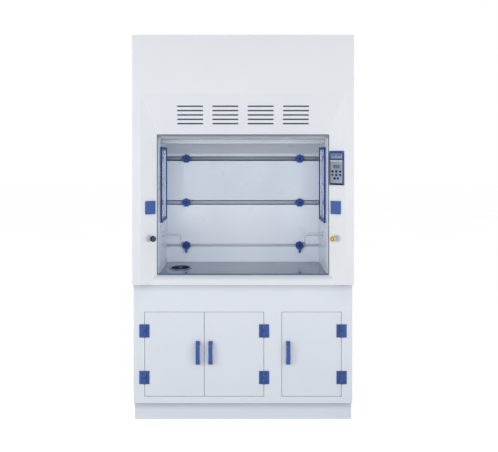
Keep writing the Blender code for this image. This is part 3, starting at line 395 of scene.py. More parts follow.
# Painted shade: the back sheet's inner face, seen through the baffle slots, tinted a darker blue-grey.
INNER_BACK_PAINTED_SHADE = ((0, -1, 0), (0, BACK_FACE + 0.0005, 0), (176, 192, 218))
FINISHES = {
    "body": plastic("body", *BODY_SHEET),
    "fascia": plastic("fascia", *BODY_SHEET, painted_light_by_facing=FASCIA_PAINTED_LIGHT),
    "cabinet": plastic("cabinet", *CABINET_SHEET, painted_shade=CABINET_PAINTED_SHADE),
    "door": plastic("door", *DOOR_SHEET, second=PAINTED, **MATT),
    "sink": plastic("sink", *SINK_ROW, second=SUNK),
    "panel": plastic("panel", *PANEL_ROW, second=LOWER_PANEL, **MATT),
    "panel_foot": plastic("panel_foot", *FOOT_ROW, Specular_IOR_Level=0.08),
    "back": plastic("back", *BODY_SHEET, second=INNER_BACK_PAINTED_SHADE),
    "left_window": window_finish(-1),
    "right_window": window_finish(1),
    "worktop": worktop_finish(),
    "diffuser": lamp_finish(),
    "pane": pane_finish("clear_glass", (236, 246, 244)),
    "window_pane": pane_finish("window_glass", (240, 247, 248), 0.08, 0.16),
    "iron": iron_finish(),
    "wire": wire_finish(),
    "steel": steel_finish(),
}

# Plastics that are their row alone; the second table has those with the weaker shine.
PLASTICS = {
    # The chamber sheets baffle, right_wall and chamber, and low_baffle, left_wall and top_baffle below, are one
    # polypropylene in lit and shaded tints: painted light and shade, palest on the right wall, darkest on the
    # leaning top baffle.
    "baffle": ((238, 244, 253), (232, 239, 250), (240, 243, 247), 0.31, 700, 0.0001),
    "right_wall": ((244, 248, 254), (240, 245, 253), (240, 243, 247), 0.31, 700, 0.0001),
    "chamber": ((221, 229, 239), (215, 224, 236), (232, 236, 240), 0.31, 700, 0.0001),
    "duct": ((196, 201, 207), (184, 190, 198), (215, 218, 222), 0.40, 900, 0.0001),
    "fitting_grey": ((150, 158, 170), (138, 147, 160), (178, 184, 192), 0.33, 900, 0.0001),
    "spout": ((210, 219, 230), (202, 212, 225), (212, 219, 228), 0.34, 900, 0.0001),
    "navy_ring": ((70, 82, 112), (60, 72, 102), (110, 120, 140), 0.40, 1300, 0.0002),
    "yellow_ring": ((168, 98, 26), (152, 86, 20), (190, 130, 60), 0.40, 1300, 0.0002),
    "navy_cap": ((24, 34, 72), (18, 26, 58), (70, 82, 112), 0.30, 1300, 0.0002),
    "yellow_cap": ((236, 216, 164), (226, 202, 144), (240, 226, 188), 0.30, 1300, 0.0002),
    "rosette": ((198, 205, 214), (190, 197, 207), (150, 158, 170), 0.36, 1300, 0.0001),
    # The three rails are one grey-blue sheet in lit and shaded copies, darker the higher the slot: painted
    # shade in the slots.
    "rail_lower": ((208, 217, 230), (200, 210, 224), (238, 242, 247), 0.33, 900, 0.0001),
    "rail_middle": ((168, 180, 198), (158, 171, 190), (190, 198, 210), 0.33, 900, 0.0001),
    "rail_upper": ((132, 144, 162), (122, 135, 154), (154, 164, 180), 0.33, 900, 0.0001),
    # A dark sheet behind the louvres: painted shade in their slots.
    "louvre_shade_sheet": ((70, 83, 112), (60, 73, 102), (104, 112, 128), 0.60, 2200, 0.0004),
    "grip_strip": ((104, 115, 134), (96, 107, 127), (124, 134, 150), 0.50, 1600, 0.0002),
    # low_baffle, left_wall and top_baffle: more of the chamber sheet's lit and shaded tints, painted light and
    # shade.
    "low_baffle": ((236, 244, 254), (229, 239, 252), (238, 242, 247), 0.31, 700, 0.0001),
    "panel_film": ((138, 150, 167), (130, 142, 160), (164, 173, 186), 0.42, 1500, 0.0001),
    "left_wall": ((234, 242, 253), (228, 237, 250), (240, 243, 247), 0.31, 700, 0.0001),
    "top_baffle": ((206, 212, 220), (200, 207, 216), (222, 226, 231), 0.31, 700, 0.0001),
    "edging_rubber": ((118, 128, 144), (106, 116, 132), (140, 148, 160), 0.55, 1600, 0.0002),
    "sealing_bead": ((236, 240, 246), (228, 234, 242), (222, 226, 231), 0.45, 1600, 0.0001),
    "glazing_rubber": ((52, 56, 64), (44, 48, 56), (80, 84, 92), 0.60, 1600, 0.0002),
    "display": ((108, 117, 134), (100, 109, 126), (126, 135, 150), 0.30, 1500, 0.00003),
    "card_grey": ((112, 120, 136), (102, 110, 126), (130, 138, 152), 0.4, 1500, 0.00003),
}
MATT_PLASTICS = {
    "fitting_blue": ((61, 92, 161), (51, 80, 145), (100, 128, 186), 0.40, 1300, 0.0002),
    "socket": ((70, 101, 169), (64, 94, 160), (32, 46, 90), 0.44, 1500, 0.0002),
    # navy_knob: its pale grey edge tint is a painted highlight on the handle's edges as well as scuffing.
    "navy_knob": ((16, 24, 58), (12, 18, 46), (96, 106, 130), 0.40, 1300, 0.0002),
    "yellow_knob": ((220, 200, 122), (206, 184, 104), (238, 220, 164), 0.40, 1300, 0.0002),
    "star_cap": ((26, 38, 74), (20, 30, 62), (70, 84, 120), 0.36, 1300, 0.0002),
    # star_grip: its bright blue edge tint is a painted highlight on the lobes' edges as well as scuffing.
    "star_grip": ((50, 92, 168), (40, 78, 148), (84, 122, 208), 0.42, 1300, 0.0002),
    "dark_key": ((3, 7, 28), (2, 5, 22), (16, 22, 50), 0.50, 1500, 0.0002),
    "blue_key": ((8, 46, 150), (6, 38, 132), (40, 76, 170), 0.50, 1500, 0.0002),
    "pale_key": ((70, 80, 102), (62, 72, 94), (96, 104, 122), 0.50, 1500, 0.0002),
}
FINISHES |= {key: plastic(key, *row) for key, row in PLASTICS.items()}
FINISHES |= {key: plastic(key, *row, **MATT) for key, row in MATT_PLASTICS.items()}

# Each finish with the starts of its nodes' names. The first that fits is taken, the body's if none does.
NODE_STARTS = {
    "cabinet": "cabinet_",
    "worktop": "worktop",
    "sink": "cup_sink",
    "diffuser": "lamp",
    "duct": "exhaust_duct",
    "back": "back_panel",
    "fascia": "front_fascia",
    "baffle": "baffle_middle",
    "low_baffle": "baffle_lower",
    "top_baffle": "baffle_top",
    "chamber": ("baffle_upper", "ceiling_panel"),
    "left_wall": "left_liner",
    "right_wall": "right_liner",
    "fitting_grey": "sash_frame",
    "pane": ("sash_lower_pane", "sash_upper_pane"),
    "wire": "sash_cable",
    "iron": "counterweight",
    "panel": "control_panel",
    "door": "door_",
    "fitting_blue": ("hinge_", "handle_"),
    "star_grip": "star_knob",
    "left_window": "window_frame_left",
    "right_window": "window_frame_right",
    "window_pane": "window_pane",
    "spout": "spout",
    "socket": "socket",
    "navy_knob": "valve_knob_left",
    "yellow_knob": "valve_knob_right",
}


def dress_nodes():
    """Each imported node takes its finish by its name; the pulleys' tool rings run about their own axles."""
    for name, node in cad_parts.items():
        if name.startswith("pulley_"):
            low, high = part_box(name)
            material = pulley_finish(name + "_nylon", tuple((low + high) / 2))
        else:
            fitting = (key for key, starts in NODE_STARTS.items() if name.startswith(starts))
            material = FINISHES[next(fitting, "body")]
        node.data.materials.clear()
        node.data.materials.append(material)


# Surfaces. A patch is (grid of points, whether its last row joins its first); its columns always join.


def patch_faces(rows, columns, joined, first):
    """Quads between each point of a grid and its neighbours one row and one column on."""
    i, j = np.meshgrid(np.arange(rows if joined else rows - 1), np.arange(columns), indexing="ij")
    i, j = i.ravel(), j.ravel()
    below, beside = (i + 1) % rows, (j + 1) % columns
    corners = [i * columns + j, i * columns + beside, below * columns + beside, below * columns + j]
    return np.stack(corners, axis=1) + first


def piece(name, patches, finish, body="hood", smooth=30.0):
    """One mesh of all the patches, doubles merged, faces out, riding on a body."""
    points, faces, count = [], [], 0
    for grid, joined in patches:
        rows, columns = grid.shape[:2]
        faces.append(patch_faces(rows, columns, joined, count))
        points.append(grid.reshape(-1, 3))
        count += rows * columns
    mesh = bpy.data.meshes.new(name)
    mesh.from_pydata(np.concatenate(points).tolist(), [], np.concatenate(faces).tolist())
    bm = bmesh.new()
    bm.from_mesh(mesh)
    bmesh.ops.remove_doubles(bm, verts=bm.verts, dist=1e-6)
    bmesh.ops.dissolve_degenerate(bm, edges=bm.edges, dist=1e-7)
    bmesh.ops.recalc_face_normals(bm, faces=bm.faces)
    bm.to_mesh(mesh)
    bm.free()
    mesh.polygons.foreach_set("use_smooth", np.ones(len(mesh.polygons), bool))
    mesh.set_sharp_from_angle(angle=math.radians(smooth))
    mesh.materials.append(FINISHES[finish])
    made = bpy.data.objects.new(name, mesh)
    bpy.context.scene.collection.objects.link(made)
    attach(made, body)
    return made


def seated(grid, origin, out, up=(0, 0, 1)):
    """A grid drawn in local (across, up, out), carried to origin with its third axis along out."""
    out = np.array(out, float) / np.linalg.norm(out)
    across = np.cross(up, out)
    across /= np.linalg.norm(across)
    rise = np.cross(out, across)
    return np.array(origin) + grid[..., :1] * across + grid[..., 1:2] * rise + grid[..., 2:] * out


def turned(profile, steps=32):
    """Rows (radius, height) carried round the third axis: (r cos a, r sin a, h)."""
    radius, height = np.array(profile, float).T
    angle = np.linspace(0, math.tau, steps, endpoint=False)
    rows = [radius[:, None] * np.cos(angle), radius[:, None] * np.sin(angle), height[:, None] + 0 * angle]
    return np.stack(rows, axis=-1)


def outline(half_width, half_height, corner, steps):
    """A rectangle's outline with round corners: corner centre plus corner times (cos a, sin a)."""
    quarter = np.linspace(0, math.pi / 2, steps)
    angle = np.concatenate([quarter + k * math.pi / 2 for k in range(4)])
    sign_x = np.repeat([1, -1, -1, 1], steps)
    sign_y = np.repeat([1, 1, -1, -1], steps)
    x = sign_x * (half_width - corner) + corner * np.cos(angle)
    y = sign_y * (half_height - corner) + corner * np.sin(angle)
    return x, y


def rounded_plate(width, height, radius, rows, corner_steps=6):
    """Rows (inset, height) of a rounded rectangle; a row whose inset is None is shrunk to the middle."""
    grid = []
    for inset, rise in rows:
        if inset is None:
            x = y = np.zeros(4 * corner_steps)
        else:
            x, y = outline(width / 2 - inset, height / 2 - inset, max(radius - inset, 1e-5), corner_steps)
        grid.append(np.stack([x, y, 0 * x + rise], axis=-1))
    return np.stack(grid)


def plate(width, height, radius, thick, origin, out, edge=0.0004, at=(0.0, 0.0), up=(0, 0, 1)):
    """A closed plate: outlines stacked from back to face, with a small rounded edge, moved by at."""
    rows = [(None, 0.0), (0.0, 0.0), (0.0, thick - edge), (edge * 0.3, thick - edge * 0.3)]
    rows += [(edge, thick), (None, thick)]
    grid = rounded_plate(width, height, radius, rows)
    grid[..., 0] += at[0]
    grid[..., 1] += at[1]
    return seated(grid, origin, out, up), False


def swept(path, radius, sides=10, closed=False, across=None):
    """A round section carried along a path: p + r (cos a u + sin a v), with poles at free ends.

    u and v are square to the path. A path in a plane can have across, square to that plane, as its u."""
    path = np.array(path, float)
    radius = np.broadcast_to(np.array(radius, float), len(path))
    ahead = np.roll(path, -1, 0) - np.roll(path, 1, 0) if closed else np.gradient(path, axis=0)
    ahead /= np.linalg.norm(ahead, axis=1)[:, None]
    if across is None:
        guide = np.where(np.abs(ahead[:, 2:]) > 0.9, [[0.0, 1.0, 0.0]], [[0.0, 0.0, 1.0]])
        u = np.cross(guide, ahead)
        u /= np.linalg.norm(u, axis=1)[:, None]
    else:
        u = np.broadcast_to(np.array(across, float), ahead.shape)
    v = np.cross(ahead, u)
    angle = np.linspace(0, math.tau, sides, endpoint=False)
    ring = np.cos(angle)[None, :, None] * u[:, None] + np.sin(angle)[None, :, None] * v[:, None]
    grid = path[:, None] + radius[:, None, None] * ring
    if not closed:
        ends = [np.repeat(path[k][None, None], sides, 1) for k in (0, -1)]
        grid = np.concatenate([ends[0], grid, ends[1]])
    return grid, closed


def bead(start, end, radius=0.0016, ripple=0.0045):
    """A weld bead between two points: a rod whose radius swells by 1 + 0.12 sin(2 pi s / ripple) along it."""
    start, end = np.array(start, float), np.array(end, float)
    length = np.linalg.norm(end - start)
    count = max(int(length / ripple * 3), 8)
    s = np.linspace(0, 1, count)
    path = start + s[:, None] * (end - start)
    return swept(path, radius * (1 + 0.12 * np.sin(math.tau * s * length / ripple)), 8)


def screw(origin, out, head=0.0042, rise=0.0022, up=(0, 0, 1)):
    """A pan head, h (1 - 0.75 (r / R) ** 4), less a cross where |x| or |y| is small near the middle."""
    radius = np.concatenate([[0.0], np.linspace(0.12, 1.0, 9) ** 0.8, [1.0]]) * head
    angle = np.linspace(0, math.tau, 32, endpoint=False)
    x, y = radius[:, None] * np.cos(angle), radius[:, None] * np.sin(angle)
    height = rise * (1 - (radius[:, None] / head) ** 4 * 0.75) + 0 * x
    narrow = np.minimum(np.abs(x), np.abs(y)) < head * 0.16
    near = np.maximum(np.abs(x), np.abs(y)) < head * 0.58
    height = np.where(narrow & near, height - rise * 0.55, height)
    height[-1] = -0.0002
    return seated(np.stack([x, y, height], axis=-1), origin, out, up), False


def bevel_frame(side, z, along=0.0, lift=0.0):
    """A point on a post's bevel and the direction out of it; along runs to the right across the bevel."""
    out = np.array([-side * math.sin(BEVEL_TURN), -math.cos(BEVEL_TURN), 0.0])
    across = np.array([math.cos(BEVEL_TURN), -side * math.sin(BEVEL_TURN), 0.0])
    return np.array([side * BEVEL_X, BEVEL_Y, z]) + along * across + lift * out, out


def make_opening_edging():
    """Grey edging on the return of the opening: soft-edged boxes up both sides and across the top."""
    low, reach, deep = WORKTOP_Z + 0.001, 0.0045, 0.0105
    middle_y = FRONT + BEVEL_D + 0.0022
    patches = []
    for side in (-1, 1):
        height = OPENING_TOP - low
        middle = (side * (OPENING_HALF - reach / 2), middle_y, low + height / 2)
        patches.append(block_patch(middle, (reach, deep, height), 0.0012))
    middle = (0, middle_y, OPENING_TOP - reach / 2)
    patches.append(block_patch(middle, (2 * (OPENING_HALF - reach), deep, reach), 0.0012))
    piece("opening_edging", patches, "edging_rubber")


def block_patch(middle, size, edge):
    """A box with softened edges: a rounded plate stacked from its lower to its upper face."""
    width, deep, height = size
    rise = ((None, 0.0), (edge, 0.0), (edge * 0.3, edge * 0.3), (0.0, edge))
    rows = [(inset, up - height / 2) for inset, up in rise]
    rows += [(inset, height / 2 - up) for inset, up in reversed(rise)]
    return rounded_plate(width, deep, edge, rows, 3) + np.array(middle), False


def make_welds():
    """Weld beads in the chamber, less its lamp and its leaning baffle, and one at the top of the plinth."""
    clear = 0.0012
    x = LINER_HALF - clear
    front, back = FRONT + GUIDES_D, FRONT + BAFFLE_D - clear
    low, top = WORKTOP_Z + clear, CEILING_Z - clear
    patches = []
    for side in (-1, 1):
        patches.append(bead((side * x, front, low), (side * x, back, low)))
        patches.append(bead((side * x, front, top), (side * x, FRONT + LAMP_FRONT, top)))
        patches.append(bead((side * x, FRONT + LAMP_BACK, top), (side * x, back - BAFFLE_LEAN, top)))
    patches.append(bead((-x, back, low), (x, back, low)))
    piece("chamber_welds", patches, "chamber", smooth=60.0)
    x, front, z = SIDE - 0.003, FRONT + PLINTH_D - 0.0008, 0.1058
    piece("plinth_weld", [bead((-x, front, z), (x, front, z), 0.0018)], "cabinet", smooth=60.0)


def make_screws():
    """Cross-head screws in the hinge leaves, fixed and moving, and in the window frames."""
    out = (0, -1, 0)
    leaf_front = CABINET_Y - LEAF_T
    aside, rise = 0.018, 0.026
    fixed = []
    for door in ("left", "middle", "right"):
        moving = []
        for level in ("upper", "lower"):
            first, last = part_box(f"hinge_{door}_{level}")
            middle_z = (first.z + last.z) / 2
            door_side = 1 if door == "left" else -1
            hinge_x = last.x - KNUCKLE_R if door_side > 0 else first.x + KNUCKLE_R
            for dz in (-rise, rise):
                fixed.append(screw((hinge_x - door_side * aside, leaf_front, middle_z + dz), out))
                moving.append(screw((hinge_x + door_side * aside, leaf_front, middle_z + dz), out))
        piece(f"door_{door}_screws", moving, "fitting_blue", "door_" + door)
    piece("hinge_screws", fixed, "fitting_blue")
    for side, name in SIDES:
        low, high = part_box("window_frame_" + name)
        inner_x = low.x if side > 0 else high.x
        patches = []
        inset = 0.0075
        for z in (low.z + inset, (low.z + high.z) / 2, high.z - inset):
            for y in (low.y + inset, high.y - inset):
                patches.append(screw((inner_x, y, z), (-side, 0, 0)))
        piece(f"window_{name}_screws", patches, "fitting_blue")


def make_window_seals():
    """A pale sealing bead round each side window: a 3.6 mm round section along the pane's rim, both faces."""
    inset, corner = 0.0019, 0.004
    for name in ("left", "right"):
        low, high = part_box("window_pane_" + name)
        y, z = outline((high.y - low.y) / 2 - inset, (high.z - low.z) / 2 - inset, corner, 5)
        y, z = (low.y + high.y) / 2 + y, (low.z + high.z) / 2 + z
        rims = [np.stack([0 * y + x, y, z], axis=-1) for x in (low.x - 0.0012, high.x + 0.0012)]
        patches = [swept(rim, 0.0018, 8, True, (1, 0, 0)) for rim in rims]
        piece(f"window_{name}_seal", patches, "sealing_bead", smooth=50.0)


# Seven strokes of a digit: (u, v, length across, length up) in units of half its height.
STROKES = {"a": (0, 1, 0.8, 0.2), "d": (0, -1, 0.8, 0.2), "g": (0, 0, 0.8, 0.2)}
STROKES |= {"b": (0.5, 0.5, 0.2, 0.8), "c": (0.5, -0.5, 0.2, 0.8)}
STROKES |= {"e": (-0.5, -0.5, 0.2, 0.8), "f": (-0.5, 0.5, 0.2, 0.8)}
DIGITS = {"0": "abcdef", "5": "acdfg"}
DIGIT_HALF = 0.0042
DISPLAY_V = 0.007
FIGURES = [
    (size_u * DIGIT_HALF, size_v * DIGIT_HALF, 0.0002, place + u * DIGIT_HALF, DISPLAY_V + v * DIGIT_HALF)
    for place, digit in ((-0.0105, "0"), (-0.0020, "5"), (0.0065, "0"))
    for u, v, size_u, size_v in (STROKES[stroke] for stroke in DIGITS[digit])
]
KEYS = {
    "dark_key": ((-0.0255, -0.021), (0.0, -0.021), (0.0255, -0.021), (-0.0105, -0.060)),
    "pale_key": ((-0.0255, -0.040),),
    "blue_key": ((0.0, -0.040), (0.0255, -0.040), (0.0105, -0.060)),
}
KEY_SIZE = (0.0148, 0.0126, 0.0044)
KEY_MARKS = [(0.0036, 0.0007, 0.0003, *place) for places in KEYS.values() for place in places]
FILM_W = 0.0765
FILMS = [
    (FILM_W, 0.0180, 0.001, 0, 0.0265),
    (0.0165, 0.0200, 0.001, -0.0300, DISPLAY_V),
    (0.0165, 0.0200, 0.001, 0.0300, DISPLAY_V),
    (FILM_W, 0.0835, 0.002, 0, -0.0452),
]
STRIPES = [(w, 0.0062, 0.0006, u, 0.0715) for u, w in ((-0.027, 0.006), (-0.013, 0.012), (0.017, 0.030))]
LINES = [(w, 0.0036, 0.0004, u, 0.0612) for u, w in ((-0.020, 0.018), (0.003, 0.016), (0.023, 0.012))]
LIGHTS = [(0.0050, 0.0030, 0.0010, 0.0160, DISPLAY_V + v) for v in (-0.0052, 0.0052)]
PRINT = PANEL_SUNK + 0.0004
GLASS = PANEL_SUNK + 0.0005
# Piece, finish, level over the bevel, thickness, edge, then plates: width, height, corner, across, up.
PANEL_PLATES = (
    ("panel_strip", "duct", PANEL_FACE, 0.0003, 0.0001, [(FILM_W, 0.0068, 0.001, 0, 0.0390)]),
    ("panel_film", "panel_film", PANEL_FACE, 0.0003, 0.0001, FILMS),
    ("panel_window_card", "panel_film", PANEL_SUNK, 0.0004, 0.0001, [(0.0752, 0.0272, 0.001, 0, 0.066)]),
    ("panel_window_stripes", "blue_key", PRINT, 0.0002, 0.00005, STRIPES),
    ("panel_window_lines", "card_grey", PRINT, 0.0002, 0.00005, LINES),
    ("panel_display", "display", PANEL_SUNK, 0.0005, 0.0001, [(0.0412, 0.0182, 0.001, 0, DISPLAY_V)]),
    ("panel_figures", "dark_key", GLASS, 0.00015, 0.00005, FIGURES),
    ("panel_lights", "blue_key", GLASS, 0.0002, 0.00005, LIGHTS),
    *(
        (key + "_caps", key, PANEL_FACE + 0.0007, 0.0006, 0.0003, [(*KEY_SIZE, *place) for place in places])
        for key, places in KEYS.items()
    ),
    ("panel_key_marks", "pale_key", PANEL_FACE + 0.0013, 0.0001, 0.00003, KEY_MARKS),
    ("panel_foot_bar", "panel_foot", 0.0004, PANEL_FACE, 0.0003, [(0.0943, 0.0098, 0.003, 0, -0.0922)]),
)


def make_control_panel():
    """The panel's films, card, display, keys and foot: plates on the bevel, and a screw at each corner."""
    base, out = bevel_frame(1, PANEL_Z)
    for name, finish, level, thick, edge, plates in PANEL_PLATES:
        patches = [
            plate(width, height, corner, thick, base + level * out, out, edge, (u, v))
            for width, height, corner, u, v in plates
        ]
        piece(name, patches, finish)
    corners = [
        screw(bevel_frame(1, PANEL_Z + v, u, PANEL_FACE + 0.0003)[0], out, 0.0024, 0.0008)
        for u in (-0.0425, 0.0425)
        for v in (-0.0905, 0.0885)
    ]
    piece("panel_screws", corners, "steel")


# Rows (radius, wave, height over the baffle) of the round grip: bored back and foot, lobed side, face, crown.
STAR_FOOT_R = 0.0198
STAR_SIDE = ((0.0, 0.0, 0.0135), (STAR_BORE, 0.0, 0.0135), (STAR_BORE, 0.0, 0.0003))
STAR_SIDE += ((STAR_FOOT_R, 0.0, 0.0003), (STAR_FOOT_R, 0.0, 0.0050), (STAR_MEAN, 1.0, 0.0066))
STAR_SIDE += ((STAR_MEAN + 0.0008, 1.0, 0.0100), (STAR_MEAN + 0.0006, 1.0, 0.0165))
STAR_SIDE += ((STAR_MEAN - 0.0008, 0.9, 0.0188), (STAR_MEAN - 0.0026, 0.8, 0.0200))
STAR_FACE = [(radius, 0.8 * (radius / STAR_MEAN) ** 2, 0.0205) for radius in np.linspace(0.0225, 0.0088, 14)]
STAR_CROWN = ((0.0078, 0.0, 0.0214), (0.0, 0.0, 0.0216))
POCKET_OUT = 0.0165
POCKET_R = 0.0058
POCKET_DEEP = 0.0042
POCKET_RIM = 0.25
CAP_PROFILE = ((0.0072, -0.0016), (0.0072, -0.0002), (0.0064, 0.0002), (0.0056, 0.0000))
CAP_PROFILE += ((0.0050, 0.0004), (0.0028, 0.0007), (0.0, 0.0008))
# The lever's plate: width, length and corner; its taper's half length; its drop; rows (inset, height).
TAIL_SIZE = (0.0175, 0.0345, 0.0055)
TAIL_TAPER = 0.0173
TAIL_DROP = 0.0288
TAIL_ROWS = [(None, 0.0110), (0.0, 0.0110), (0.0, 0.0192), (0.0004, 0.0196), (0.0008, 0.0198), (None, 0.0198)]


def star_places():
    """Each star knob's LEVEL_SIDE, its middle's x and z, and the y of its face."""
    for level in ("lower", "middle", "upper"):
        for side in ("left", "right"):
            low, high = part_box(f"star_knob_{level}_{side}")
            yield f"{level}_{side}", (low.x + high.x) / 2, high.z - STAR_R, low.y


def make_star_grips():
    """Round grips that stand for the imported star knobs: radius r (1 + w cos(n a)), and a pocket in each lobe.

    A pocket's depth is even inside its radius and runs out over its rim."""
    angle = np.linspace(0, math.tau, 84, endpoint=False)
    rows = [*STAR_SIDE, *STAR_FACE, *STAR_CROWN]
    radius, wave, height = (np.array(column)[:, None] for column in zip(*rows))
    reach = radius * (1 + STAR_WAVE * wave * np.cos(STAR_LOBES * angle))
    height = height + 0 * reach
    turn = np.mod(angle + math.pi / STAR_LOBES, math.tau / STAR_LOBES) - math.pi / STAR_LOBES
    off = np.hypot(reach * np.cos(turn) - POCKET_OUT, reach * np.sin(turn)) / POCKET_R
    face = slice(len(STAR_SIDE), len(STAR_SIDE) + len(STAR_FACE))
    height[face] -= (POCKET_DEEP * np.clip(1 + POCKET_RIM - off, 0, POCKET_RIM) / POCKET_RIM)[face]
    local = np.stack([reach * np.sin(angle), reach * np.cos(angle), height], axis=-1)
    for place, x, z, _ in star_places():
        middle = (x, FRONT + BAFFLE_D, z)
        patches = [(seated(local, middle, (0, -1, 0)), False)]
        if place.startswith("lower"):
            patches.append(star_tail(middle))
        grip = piece(f"star_grip_{place}", patches, "star_grip", f"knob_{place}")
        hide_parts(f"star_knob_{place}")


def star_tail(middle):
    """The lever under a lower grip: a rounded plate that narrows evenly, by a third at its tip."""
    grid = rounded_plate(*TAIL_SIZE, TAIL_ROWS)
    grid[..., 0] *= 0.83 + 0.17 * grid[..., 1] / TAIL_TAPER
    grid[..., 1] -= TAIL_DROP
    return seated(grid, middle, (0, -1, 0)), False


def make_knob_caps():
    """A pressed cap on each star knob: a turned profile with a shallow ring groove."""
    for place, x, z, face in star_places():
        grid = seated(turned(CAP_PROFILE, 28), (x, face, z), (0, -1, 0))
        piece(f"knob_cap_{place}", [(grid, False)], "star_cap", f"knob_{place}")


def lobed(profile, lobes, steps=72):
    """Rows (radius, wave, height) round the third axis: (q cos a, q sin a, h) with q = r (1 + w cos(n a))."""
    radius, wave, height = (np.array(column)[:, None] for column in zip(*profile))
    angle = np.linspace(0, math.tau, steps, endpoint=False)
    reach = radius * (1 + wave * np.cos(lobes * angle))
    return np.stack([reach * np.cos(angle), reach * np.sin(angle), height + 0 * reach], axis=-1)


# Valve profiles: rows (radius, height over the bevel), and (radius, wave, height) for the fluted handle.
ROSETTE = ((0.0075, 0.0004), (0.0200, 0.0004), (0.0200, 0.0020))
ROSETTE += ((0.0185, 0.0038), (0.0100, 0.0058), (0.0075, 0.0060))
SPINDLE = ((0.0, 0.0008), (0.0066, 0.0008), (0.0066, 0.0318), (0.0, 0.0318))
HANDLE = ((0.0, 0, 0.0320), (0.0100, 0, 0.0320), (0.0150, 0.03, 0.0336), (0.0164, 0.06, 0.0365))
HANDLE += ((0.0166, 0.06, 0.0460), (0.0160, 0.05, 0.0494), (0.0140, 0.02, 0.0510))
HANDLE += ((0.0114, 0, 0.0510), (0.0106, 0, 0.0498), (0.0, 0, 0.0498))
RING = ((0.0056, 0.0499), (0.0100, 0.0499), (0.0100, 0.0506))
RING += ((0.0092, 0.0511), (0.0062, 0.0511), (0.0056, 0.0506))
DOME = ((0.0, 0.0499), (0.0052, 0.0499), (0.0052, 0.0514))
DOME += ((0.0044, 0.0522), (0.0022, 0.0527), (0.0, 0.0528))
FLUTES = 8
INDEX_LEVEL = 0.0511


def make_valves():
    """Each valve: a fixed rosette on the bevel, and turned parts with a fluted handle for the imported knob."""
    for side, name, tint in ((-1, "left", "navy"), (1, "right", "yellow")):
        origin, out = bevel_frame(side, VALVE_Z)
        parts = (
            ("rosette", turned(ROSETTE, 48), True, "rosette"),
            ("spindle", turned(SPINDLE, 28), False, "rosette"),
            ("handle", lobed(HANDLE, FLUTES), False, tint + "_knob"),
            ("ring", turned(RING, 32), True, tint + "_ring"),
            ("cap", turned(DOME, 28), False, tint + "_cap"),
        )
        for part, grid, joined, finish in parts:
            body, slot = ("hood", "body_sheet") if part == "rosette" else ("valve_" + name, "knob_" + tint)
            patch = (seated(grid, origin, out), joined)
            made = piece(f"valve_{part}_{name}", [patch], finish, body)
            if part == "handle":
                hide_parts("valve_knob_" + name)
        index = plate(0.0016, 0.0036, 0.0006, 0.0004, origin + INDEX_LEVEL * out, out, 0.0001, (0, 0.0128))
        piece("valve_index_" + name, [index], "panel_film", "valve_" + name)


def make_spout_tips():
    """Serrated hose ends under the spouts: radius a saw of the height, four teeth."""
    for side, name in SIDES:
        low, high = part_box("spout_" + name)
        x = side * (LINER_HALF - SPOUT_REACH)
        y = (low.y + high.y) / 2
        teeth = [(0.0, 0.0004), (0.0090, 0.0004)]
        for k in range(4):
            teeth += [(0.0070, -0.0042 * k - 0.0006), (0.0054, -0.0042 * (k + 1))]
        teeth += [(0.0035, -0.0172), (0.0030, -0.0060), (0.0, -0.0060)]
        grid = turned(teeth, 24) + np.array([x, y, low.z + 0.0002])
        piece(f"spout_tip_{name}", [(grid, False)], "fitting_grey")


def make_sash_seal():
    """Round cords of glazing rubber up both sides and along the foot of the lower pane, on both faces."""
    low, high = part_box("sash_lower_pane")
    patches = []
    for y in (low.y - 0.0008, high.y + 0.0008):
        for x in (low.x + 0.0022, high.x - 0.0022):
            patches.append(bar_patch((x, y, low.z), (x, y, high.z), 0.0016))
        patches.append(bar_patch((low.x, y, low.z + 0.002), (high.x, y, low.z + 0.002), 0.0016))
    piece("sash_seal", patches, "glazing_rubber", "sash")


def bar_patch(start, end, radius):
    """A straight round cord between two points."""
    s = np.linspace(0, 1, 3)[:, None]
    return swept(np.array(start) + s * (np.array(end) - np.array(start)), radius, 8)


def make_cable_ends():
    """Pressed ferrules where each cable meets the sash and its weight: a turned sleeve with rounded ends."""
    profile = [(0.0, -0.0002), (0.0042, -0.0002), (0.0046, 0.0006), (0.0046, 0.0120)]
    profile += [(0.0036, 0.0140), (0.0018, 0.0144)]
    sash_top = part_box("sash_frame")[1].z
    for side, name in SIDES:
        low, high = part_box("counterweight_" + name)
        y = (low.y + high.y) / 2
        weight = ("weight", "weight_" + name, ((low.x + high.x) / 2, y, high.z))
        for end, body, place in (weight, ("sash", "sash", (side * CABLE_X, y, sash_top))):
            patch = (turned(profile, 20) + np.array(place), False)
            piece(f"{end}_ferrule_{name}", [patch], "steel", body)


def make_duct_trim():
    """Screws in the collar's flange, and a weld bead round its foot of radius r (1 + 0.12 sin 60 a)."""
    low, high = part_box("exhaust_duct")
    x, y, _ = (low + high) / 2
    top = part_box("hood_roof")[1].z + FLANGE_T
    spots = [
        (x + FLANGE_SCREW_R * math.cos(a), y + FLANGE_SCREW_R * math.sin(a), top)
        for a in math.tau * (np.arange(8) + 0.5) / 8
    ]
    piece("duct_screws", [screw(spot, (0, 0, 1), up=(0, 1, 0)) for spot in spots], "steel")
    angle = np.linspace(0, math.tau, 240, endpoint=False)
    ring = [x + COLLAR_R * np.cos(angle), y + COLLAR_R * np.sin(angle), 0 * angle + top + 0.0002]
    weld = swept(np.stack(ring, axis=-1), 0.0018 * (1 + 0.12 * np.sin(60 * angle)), 8, True)
    piece("duct_weld", [weld], "duct", smooth=60.0)


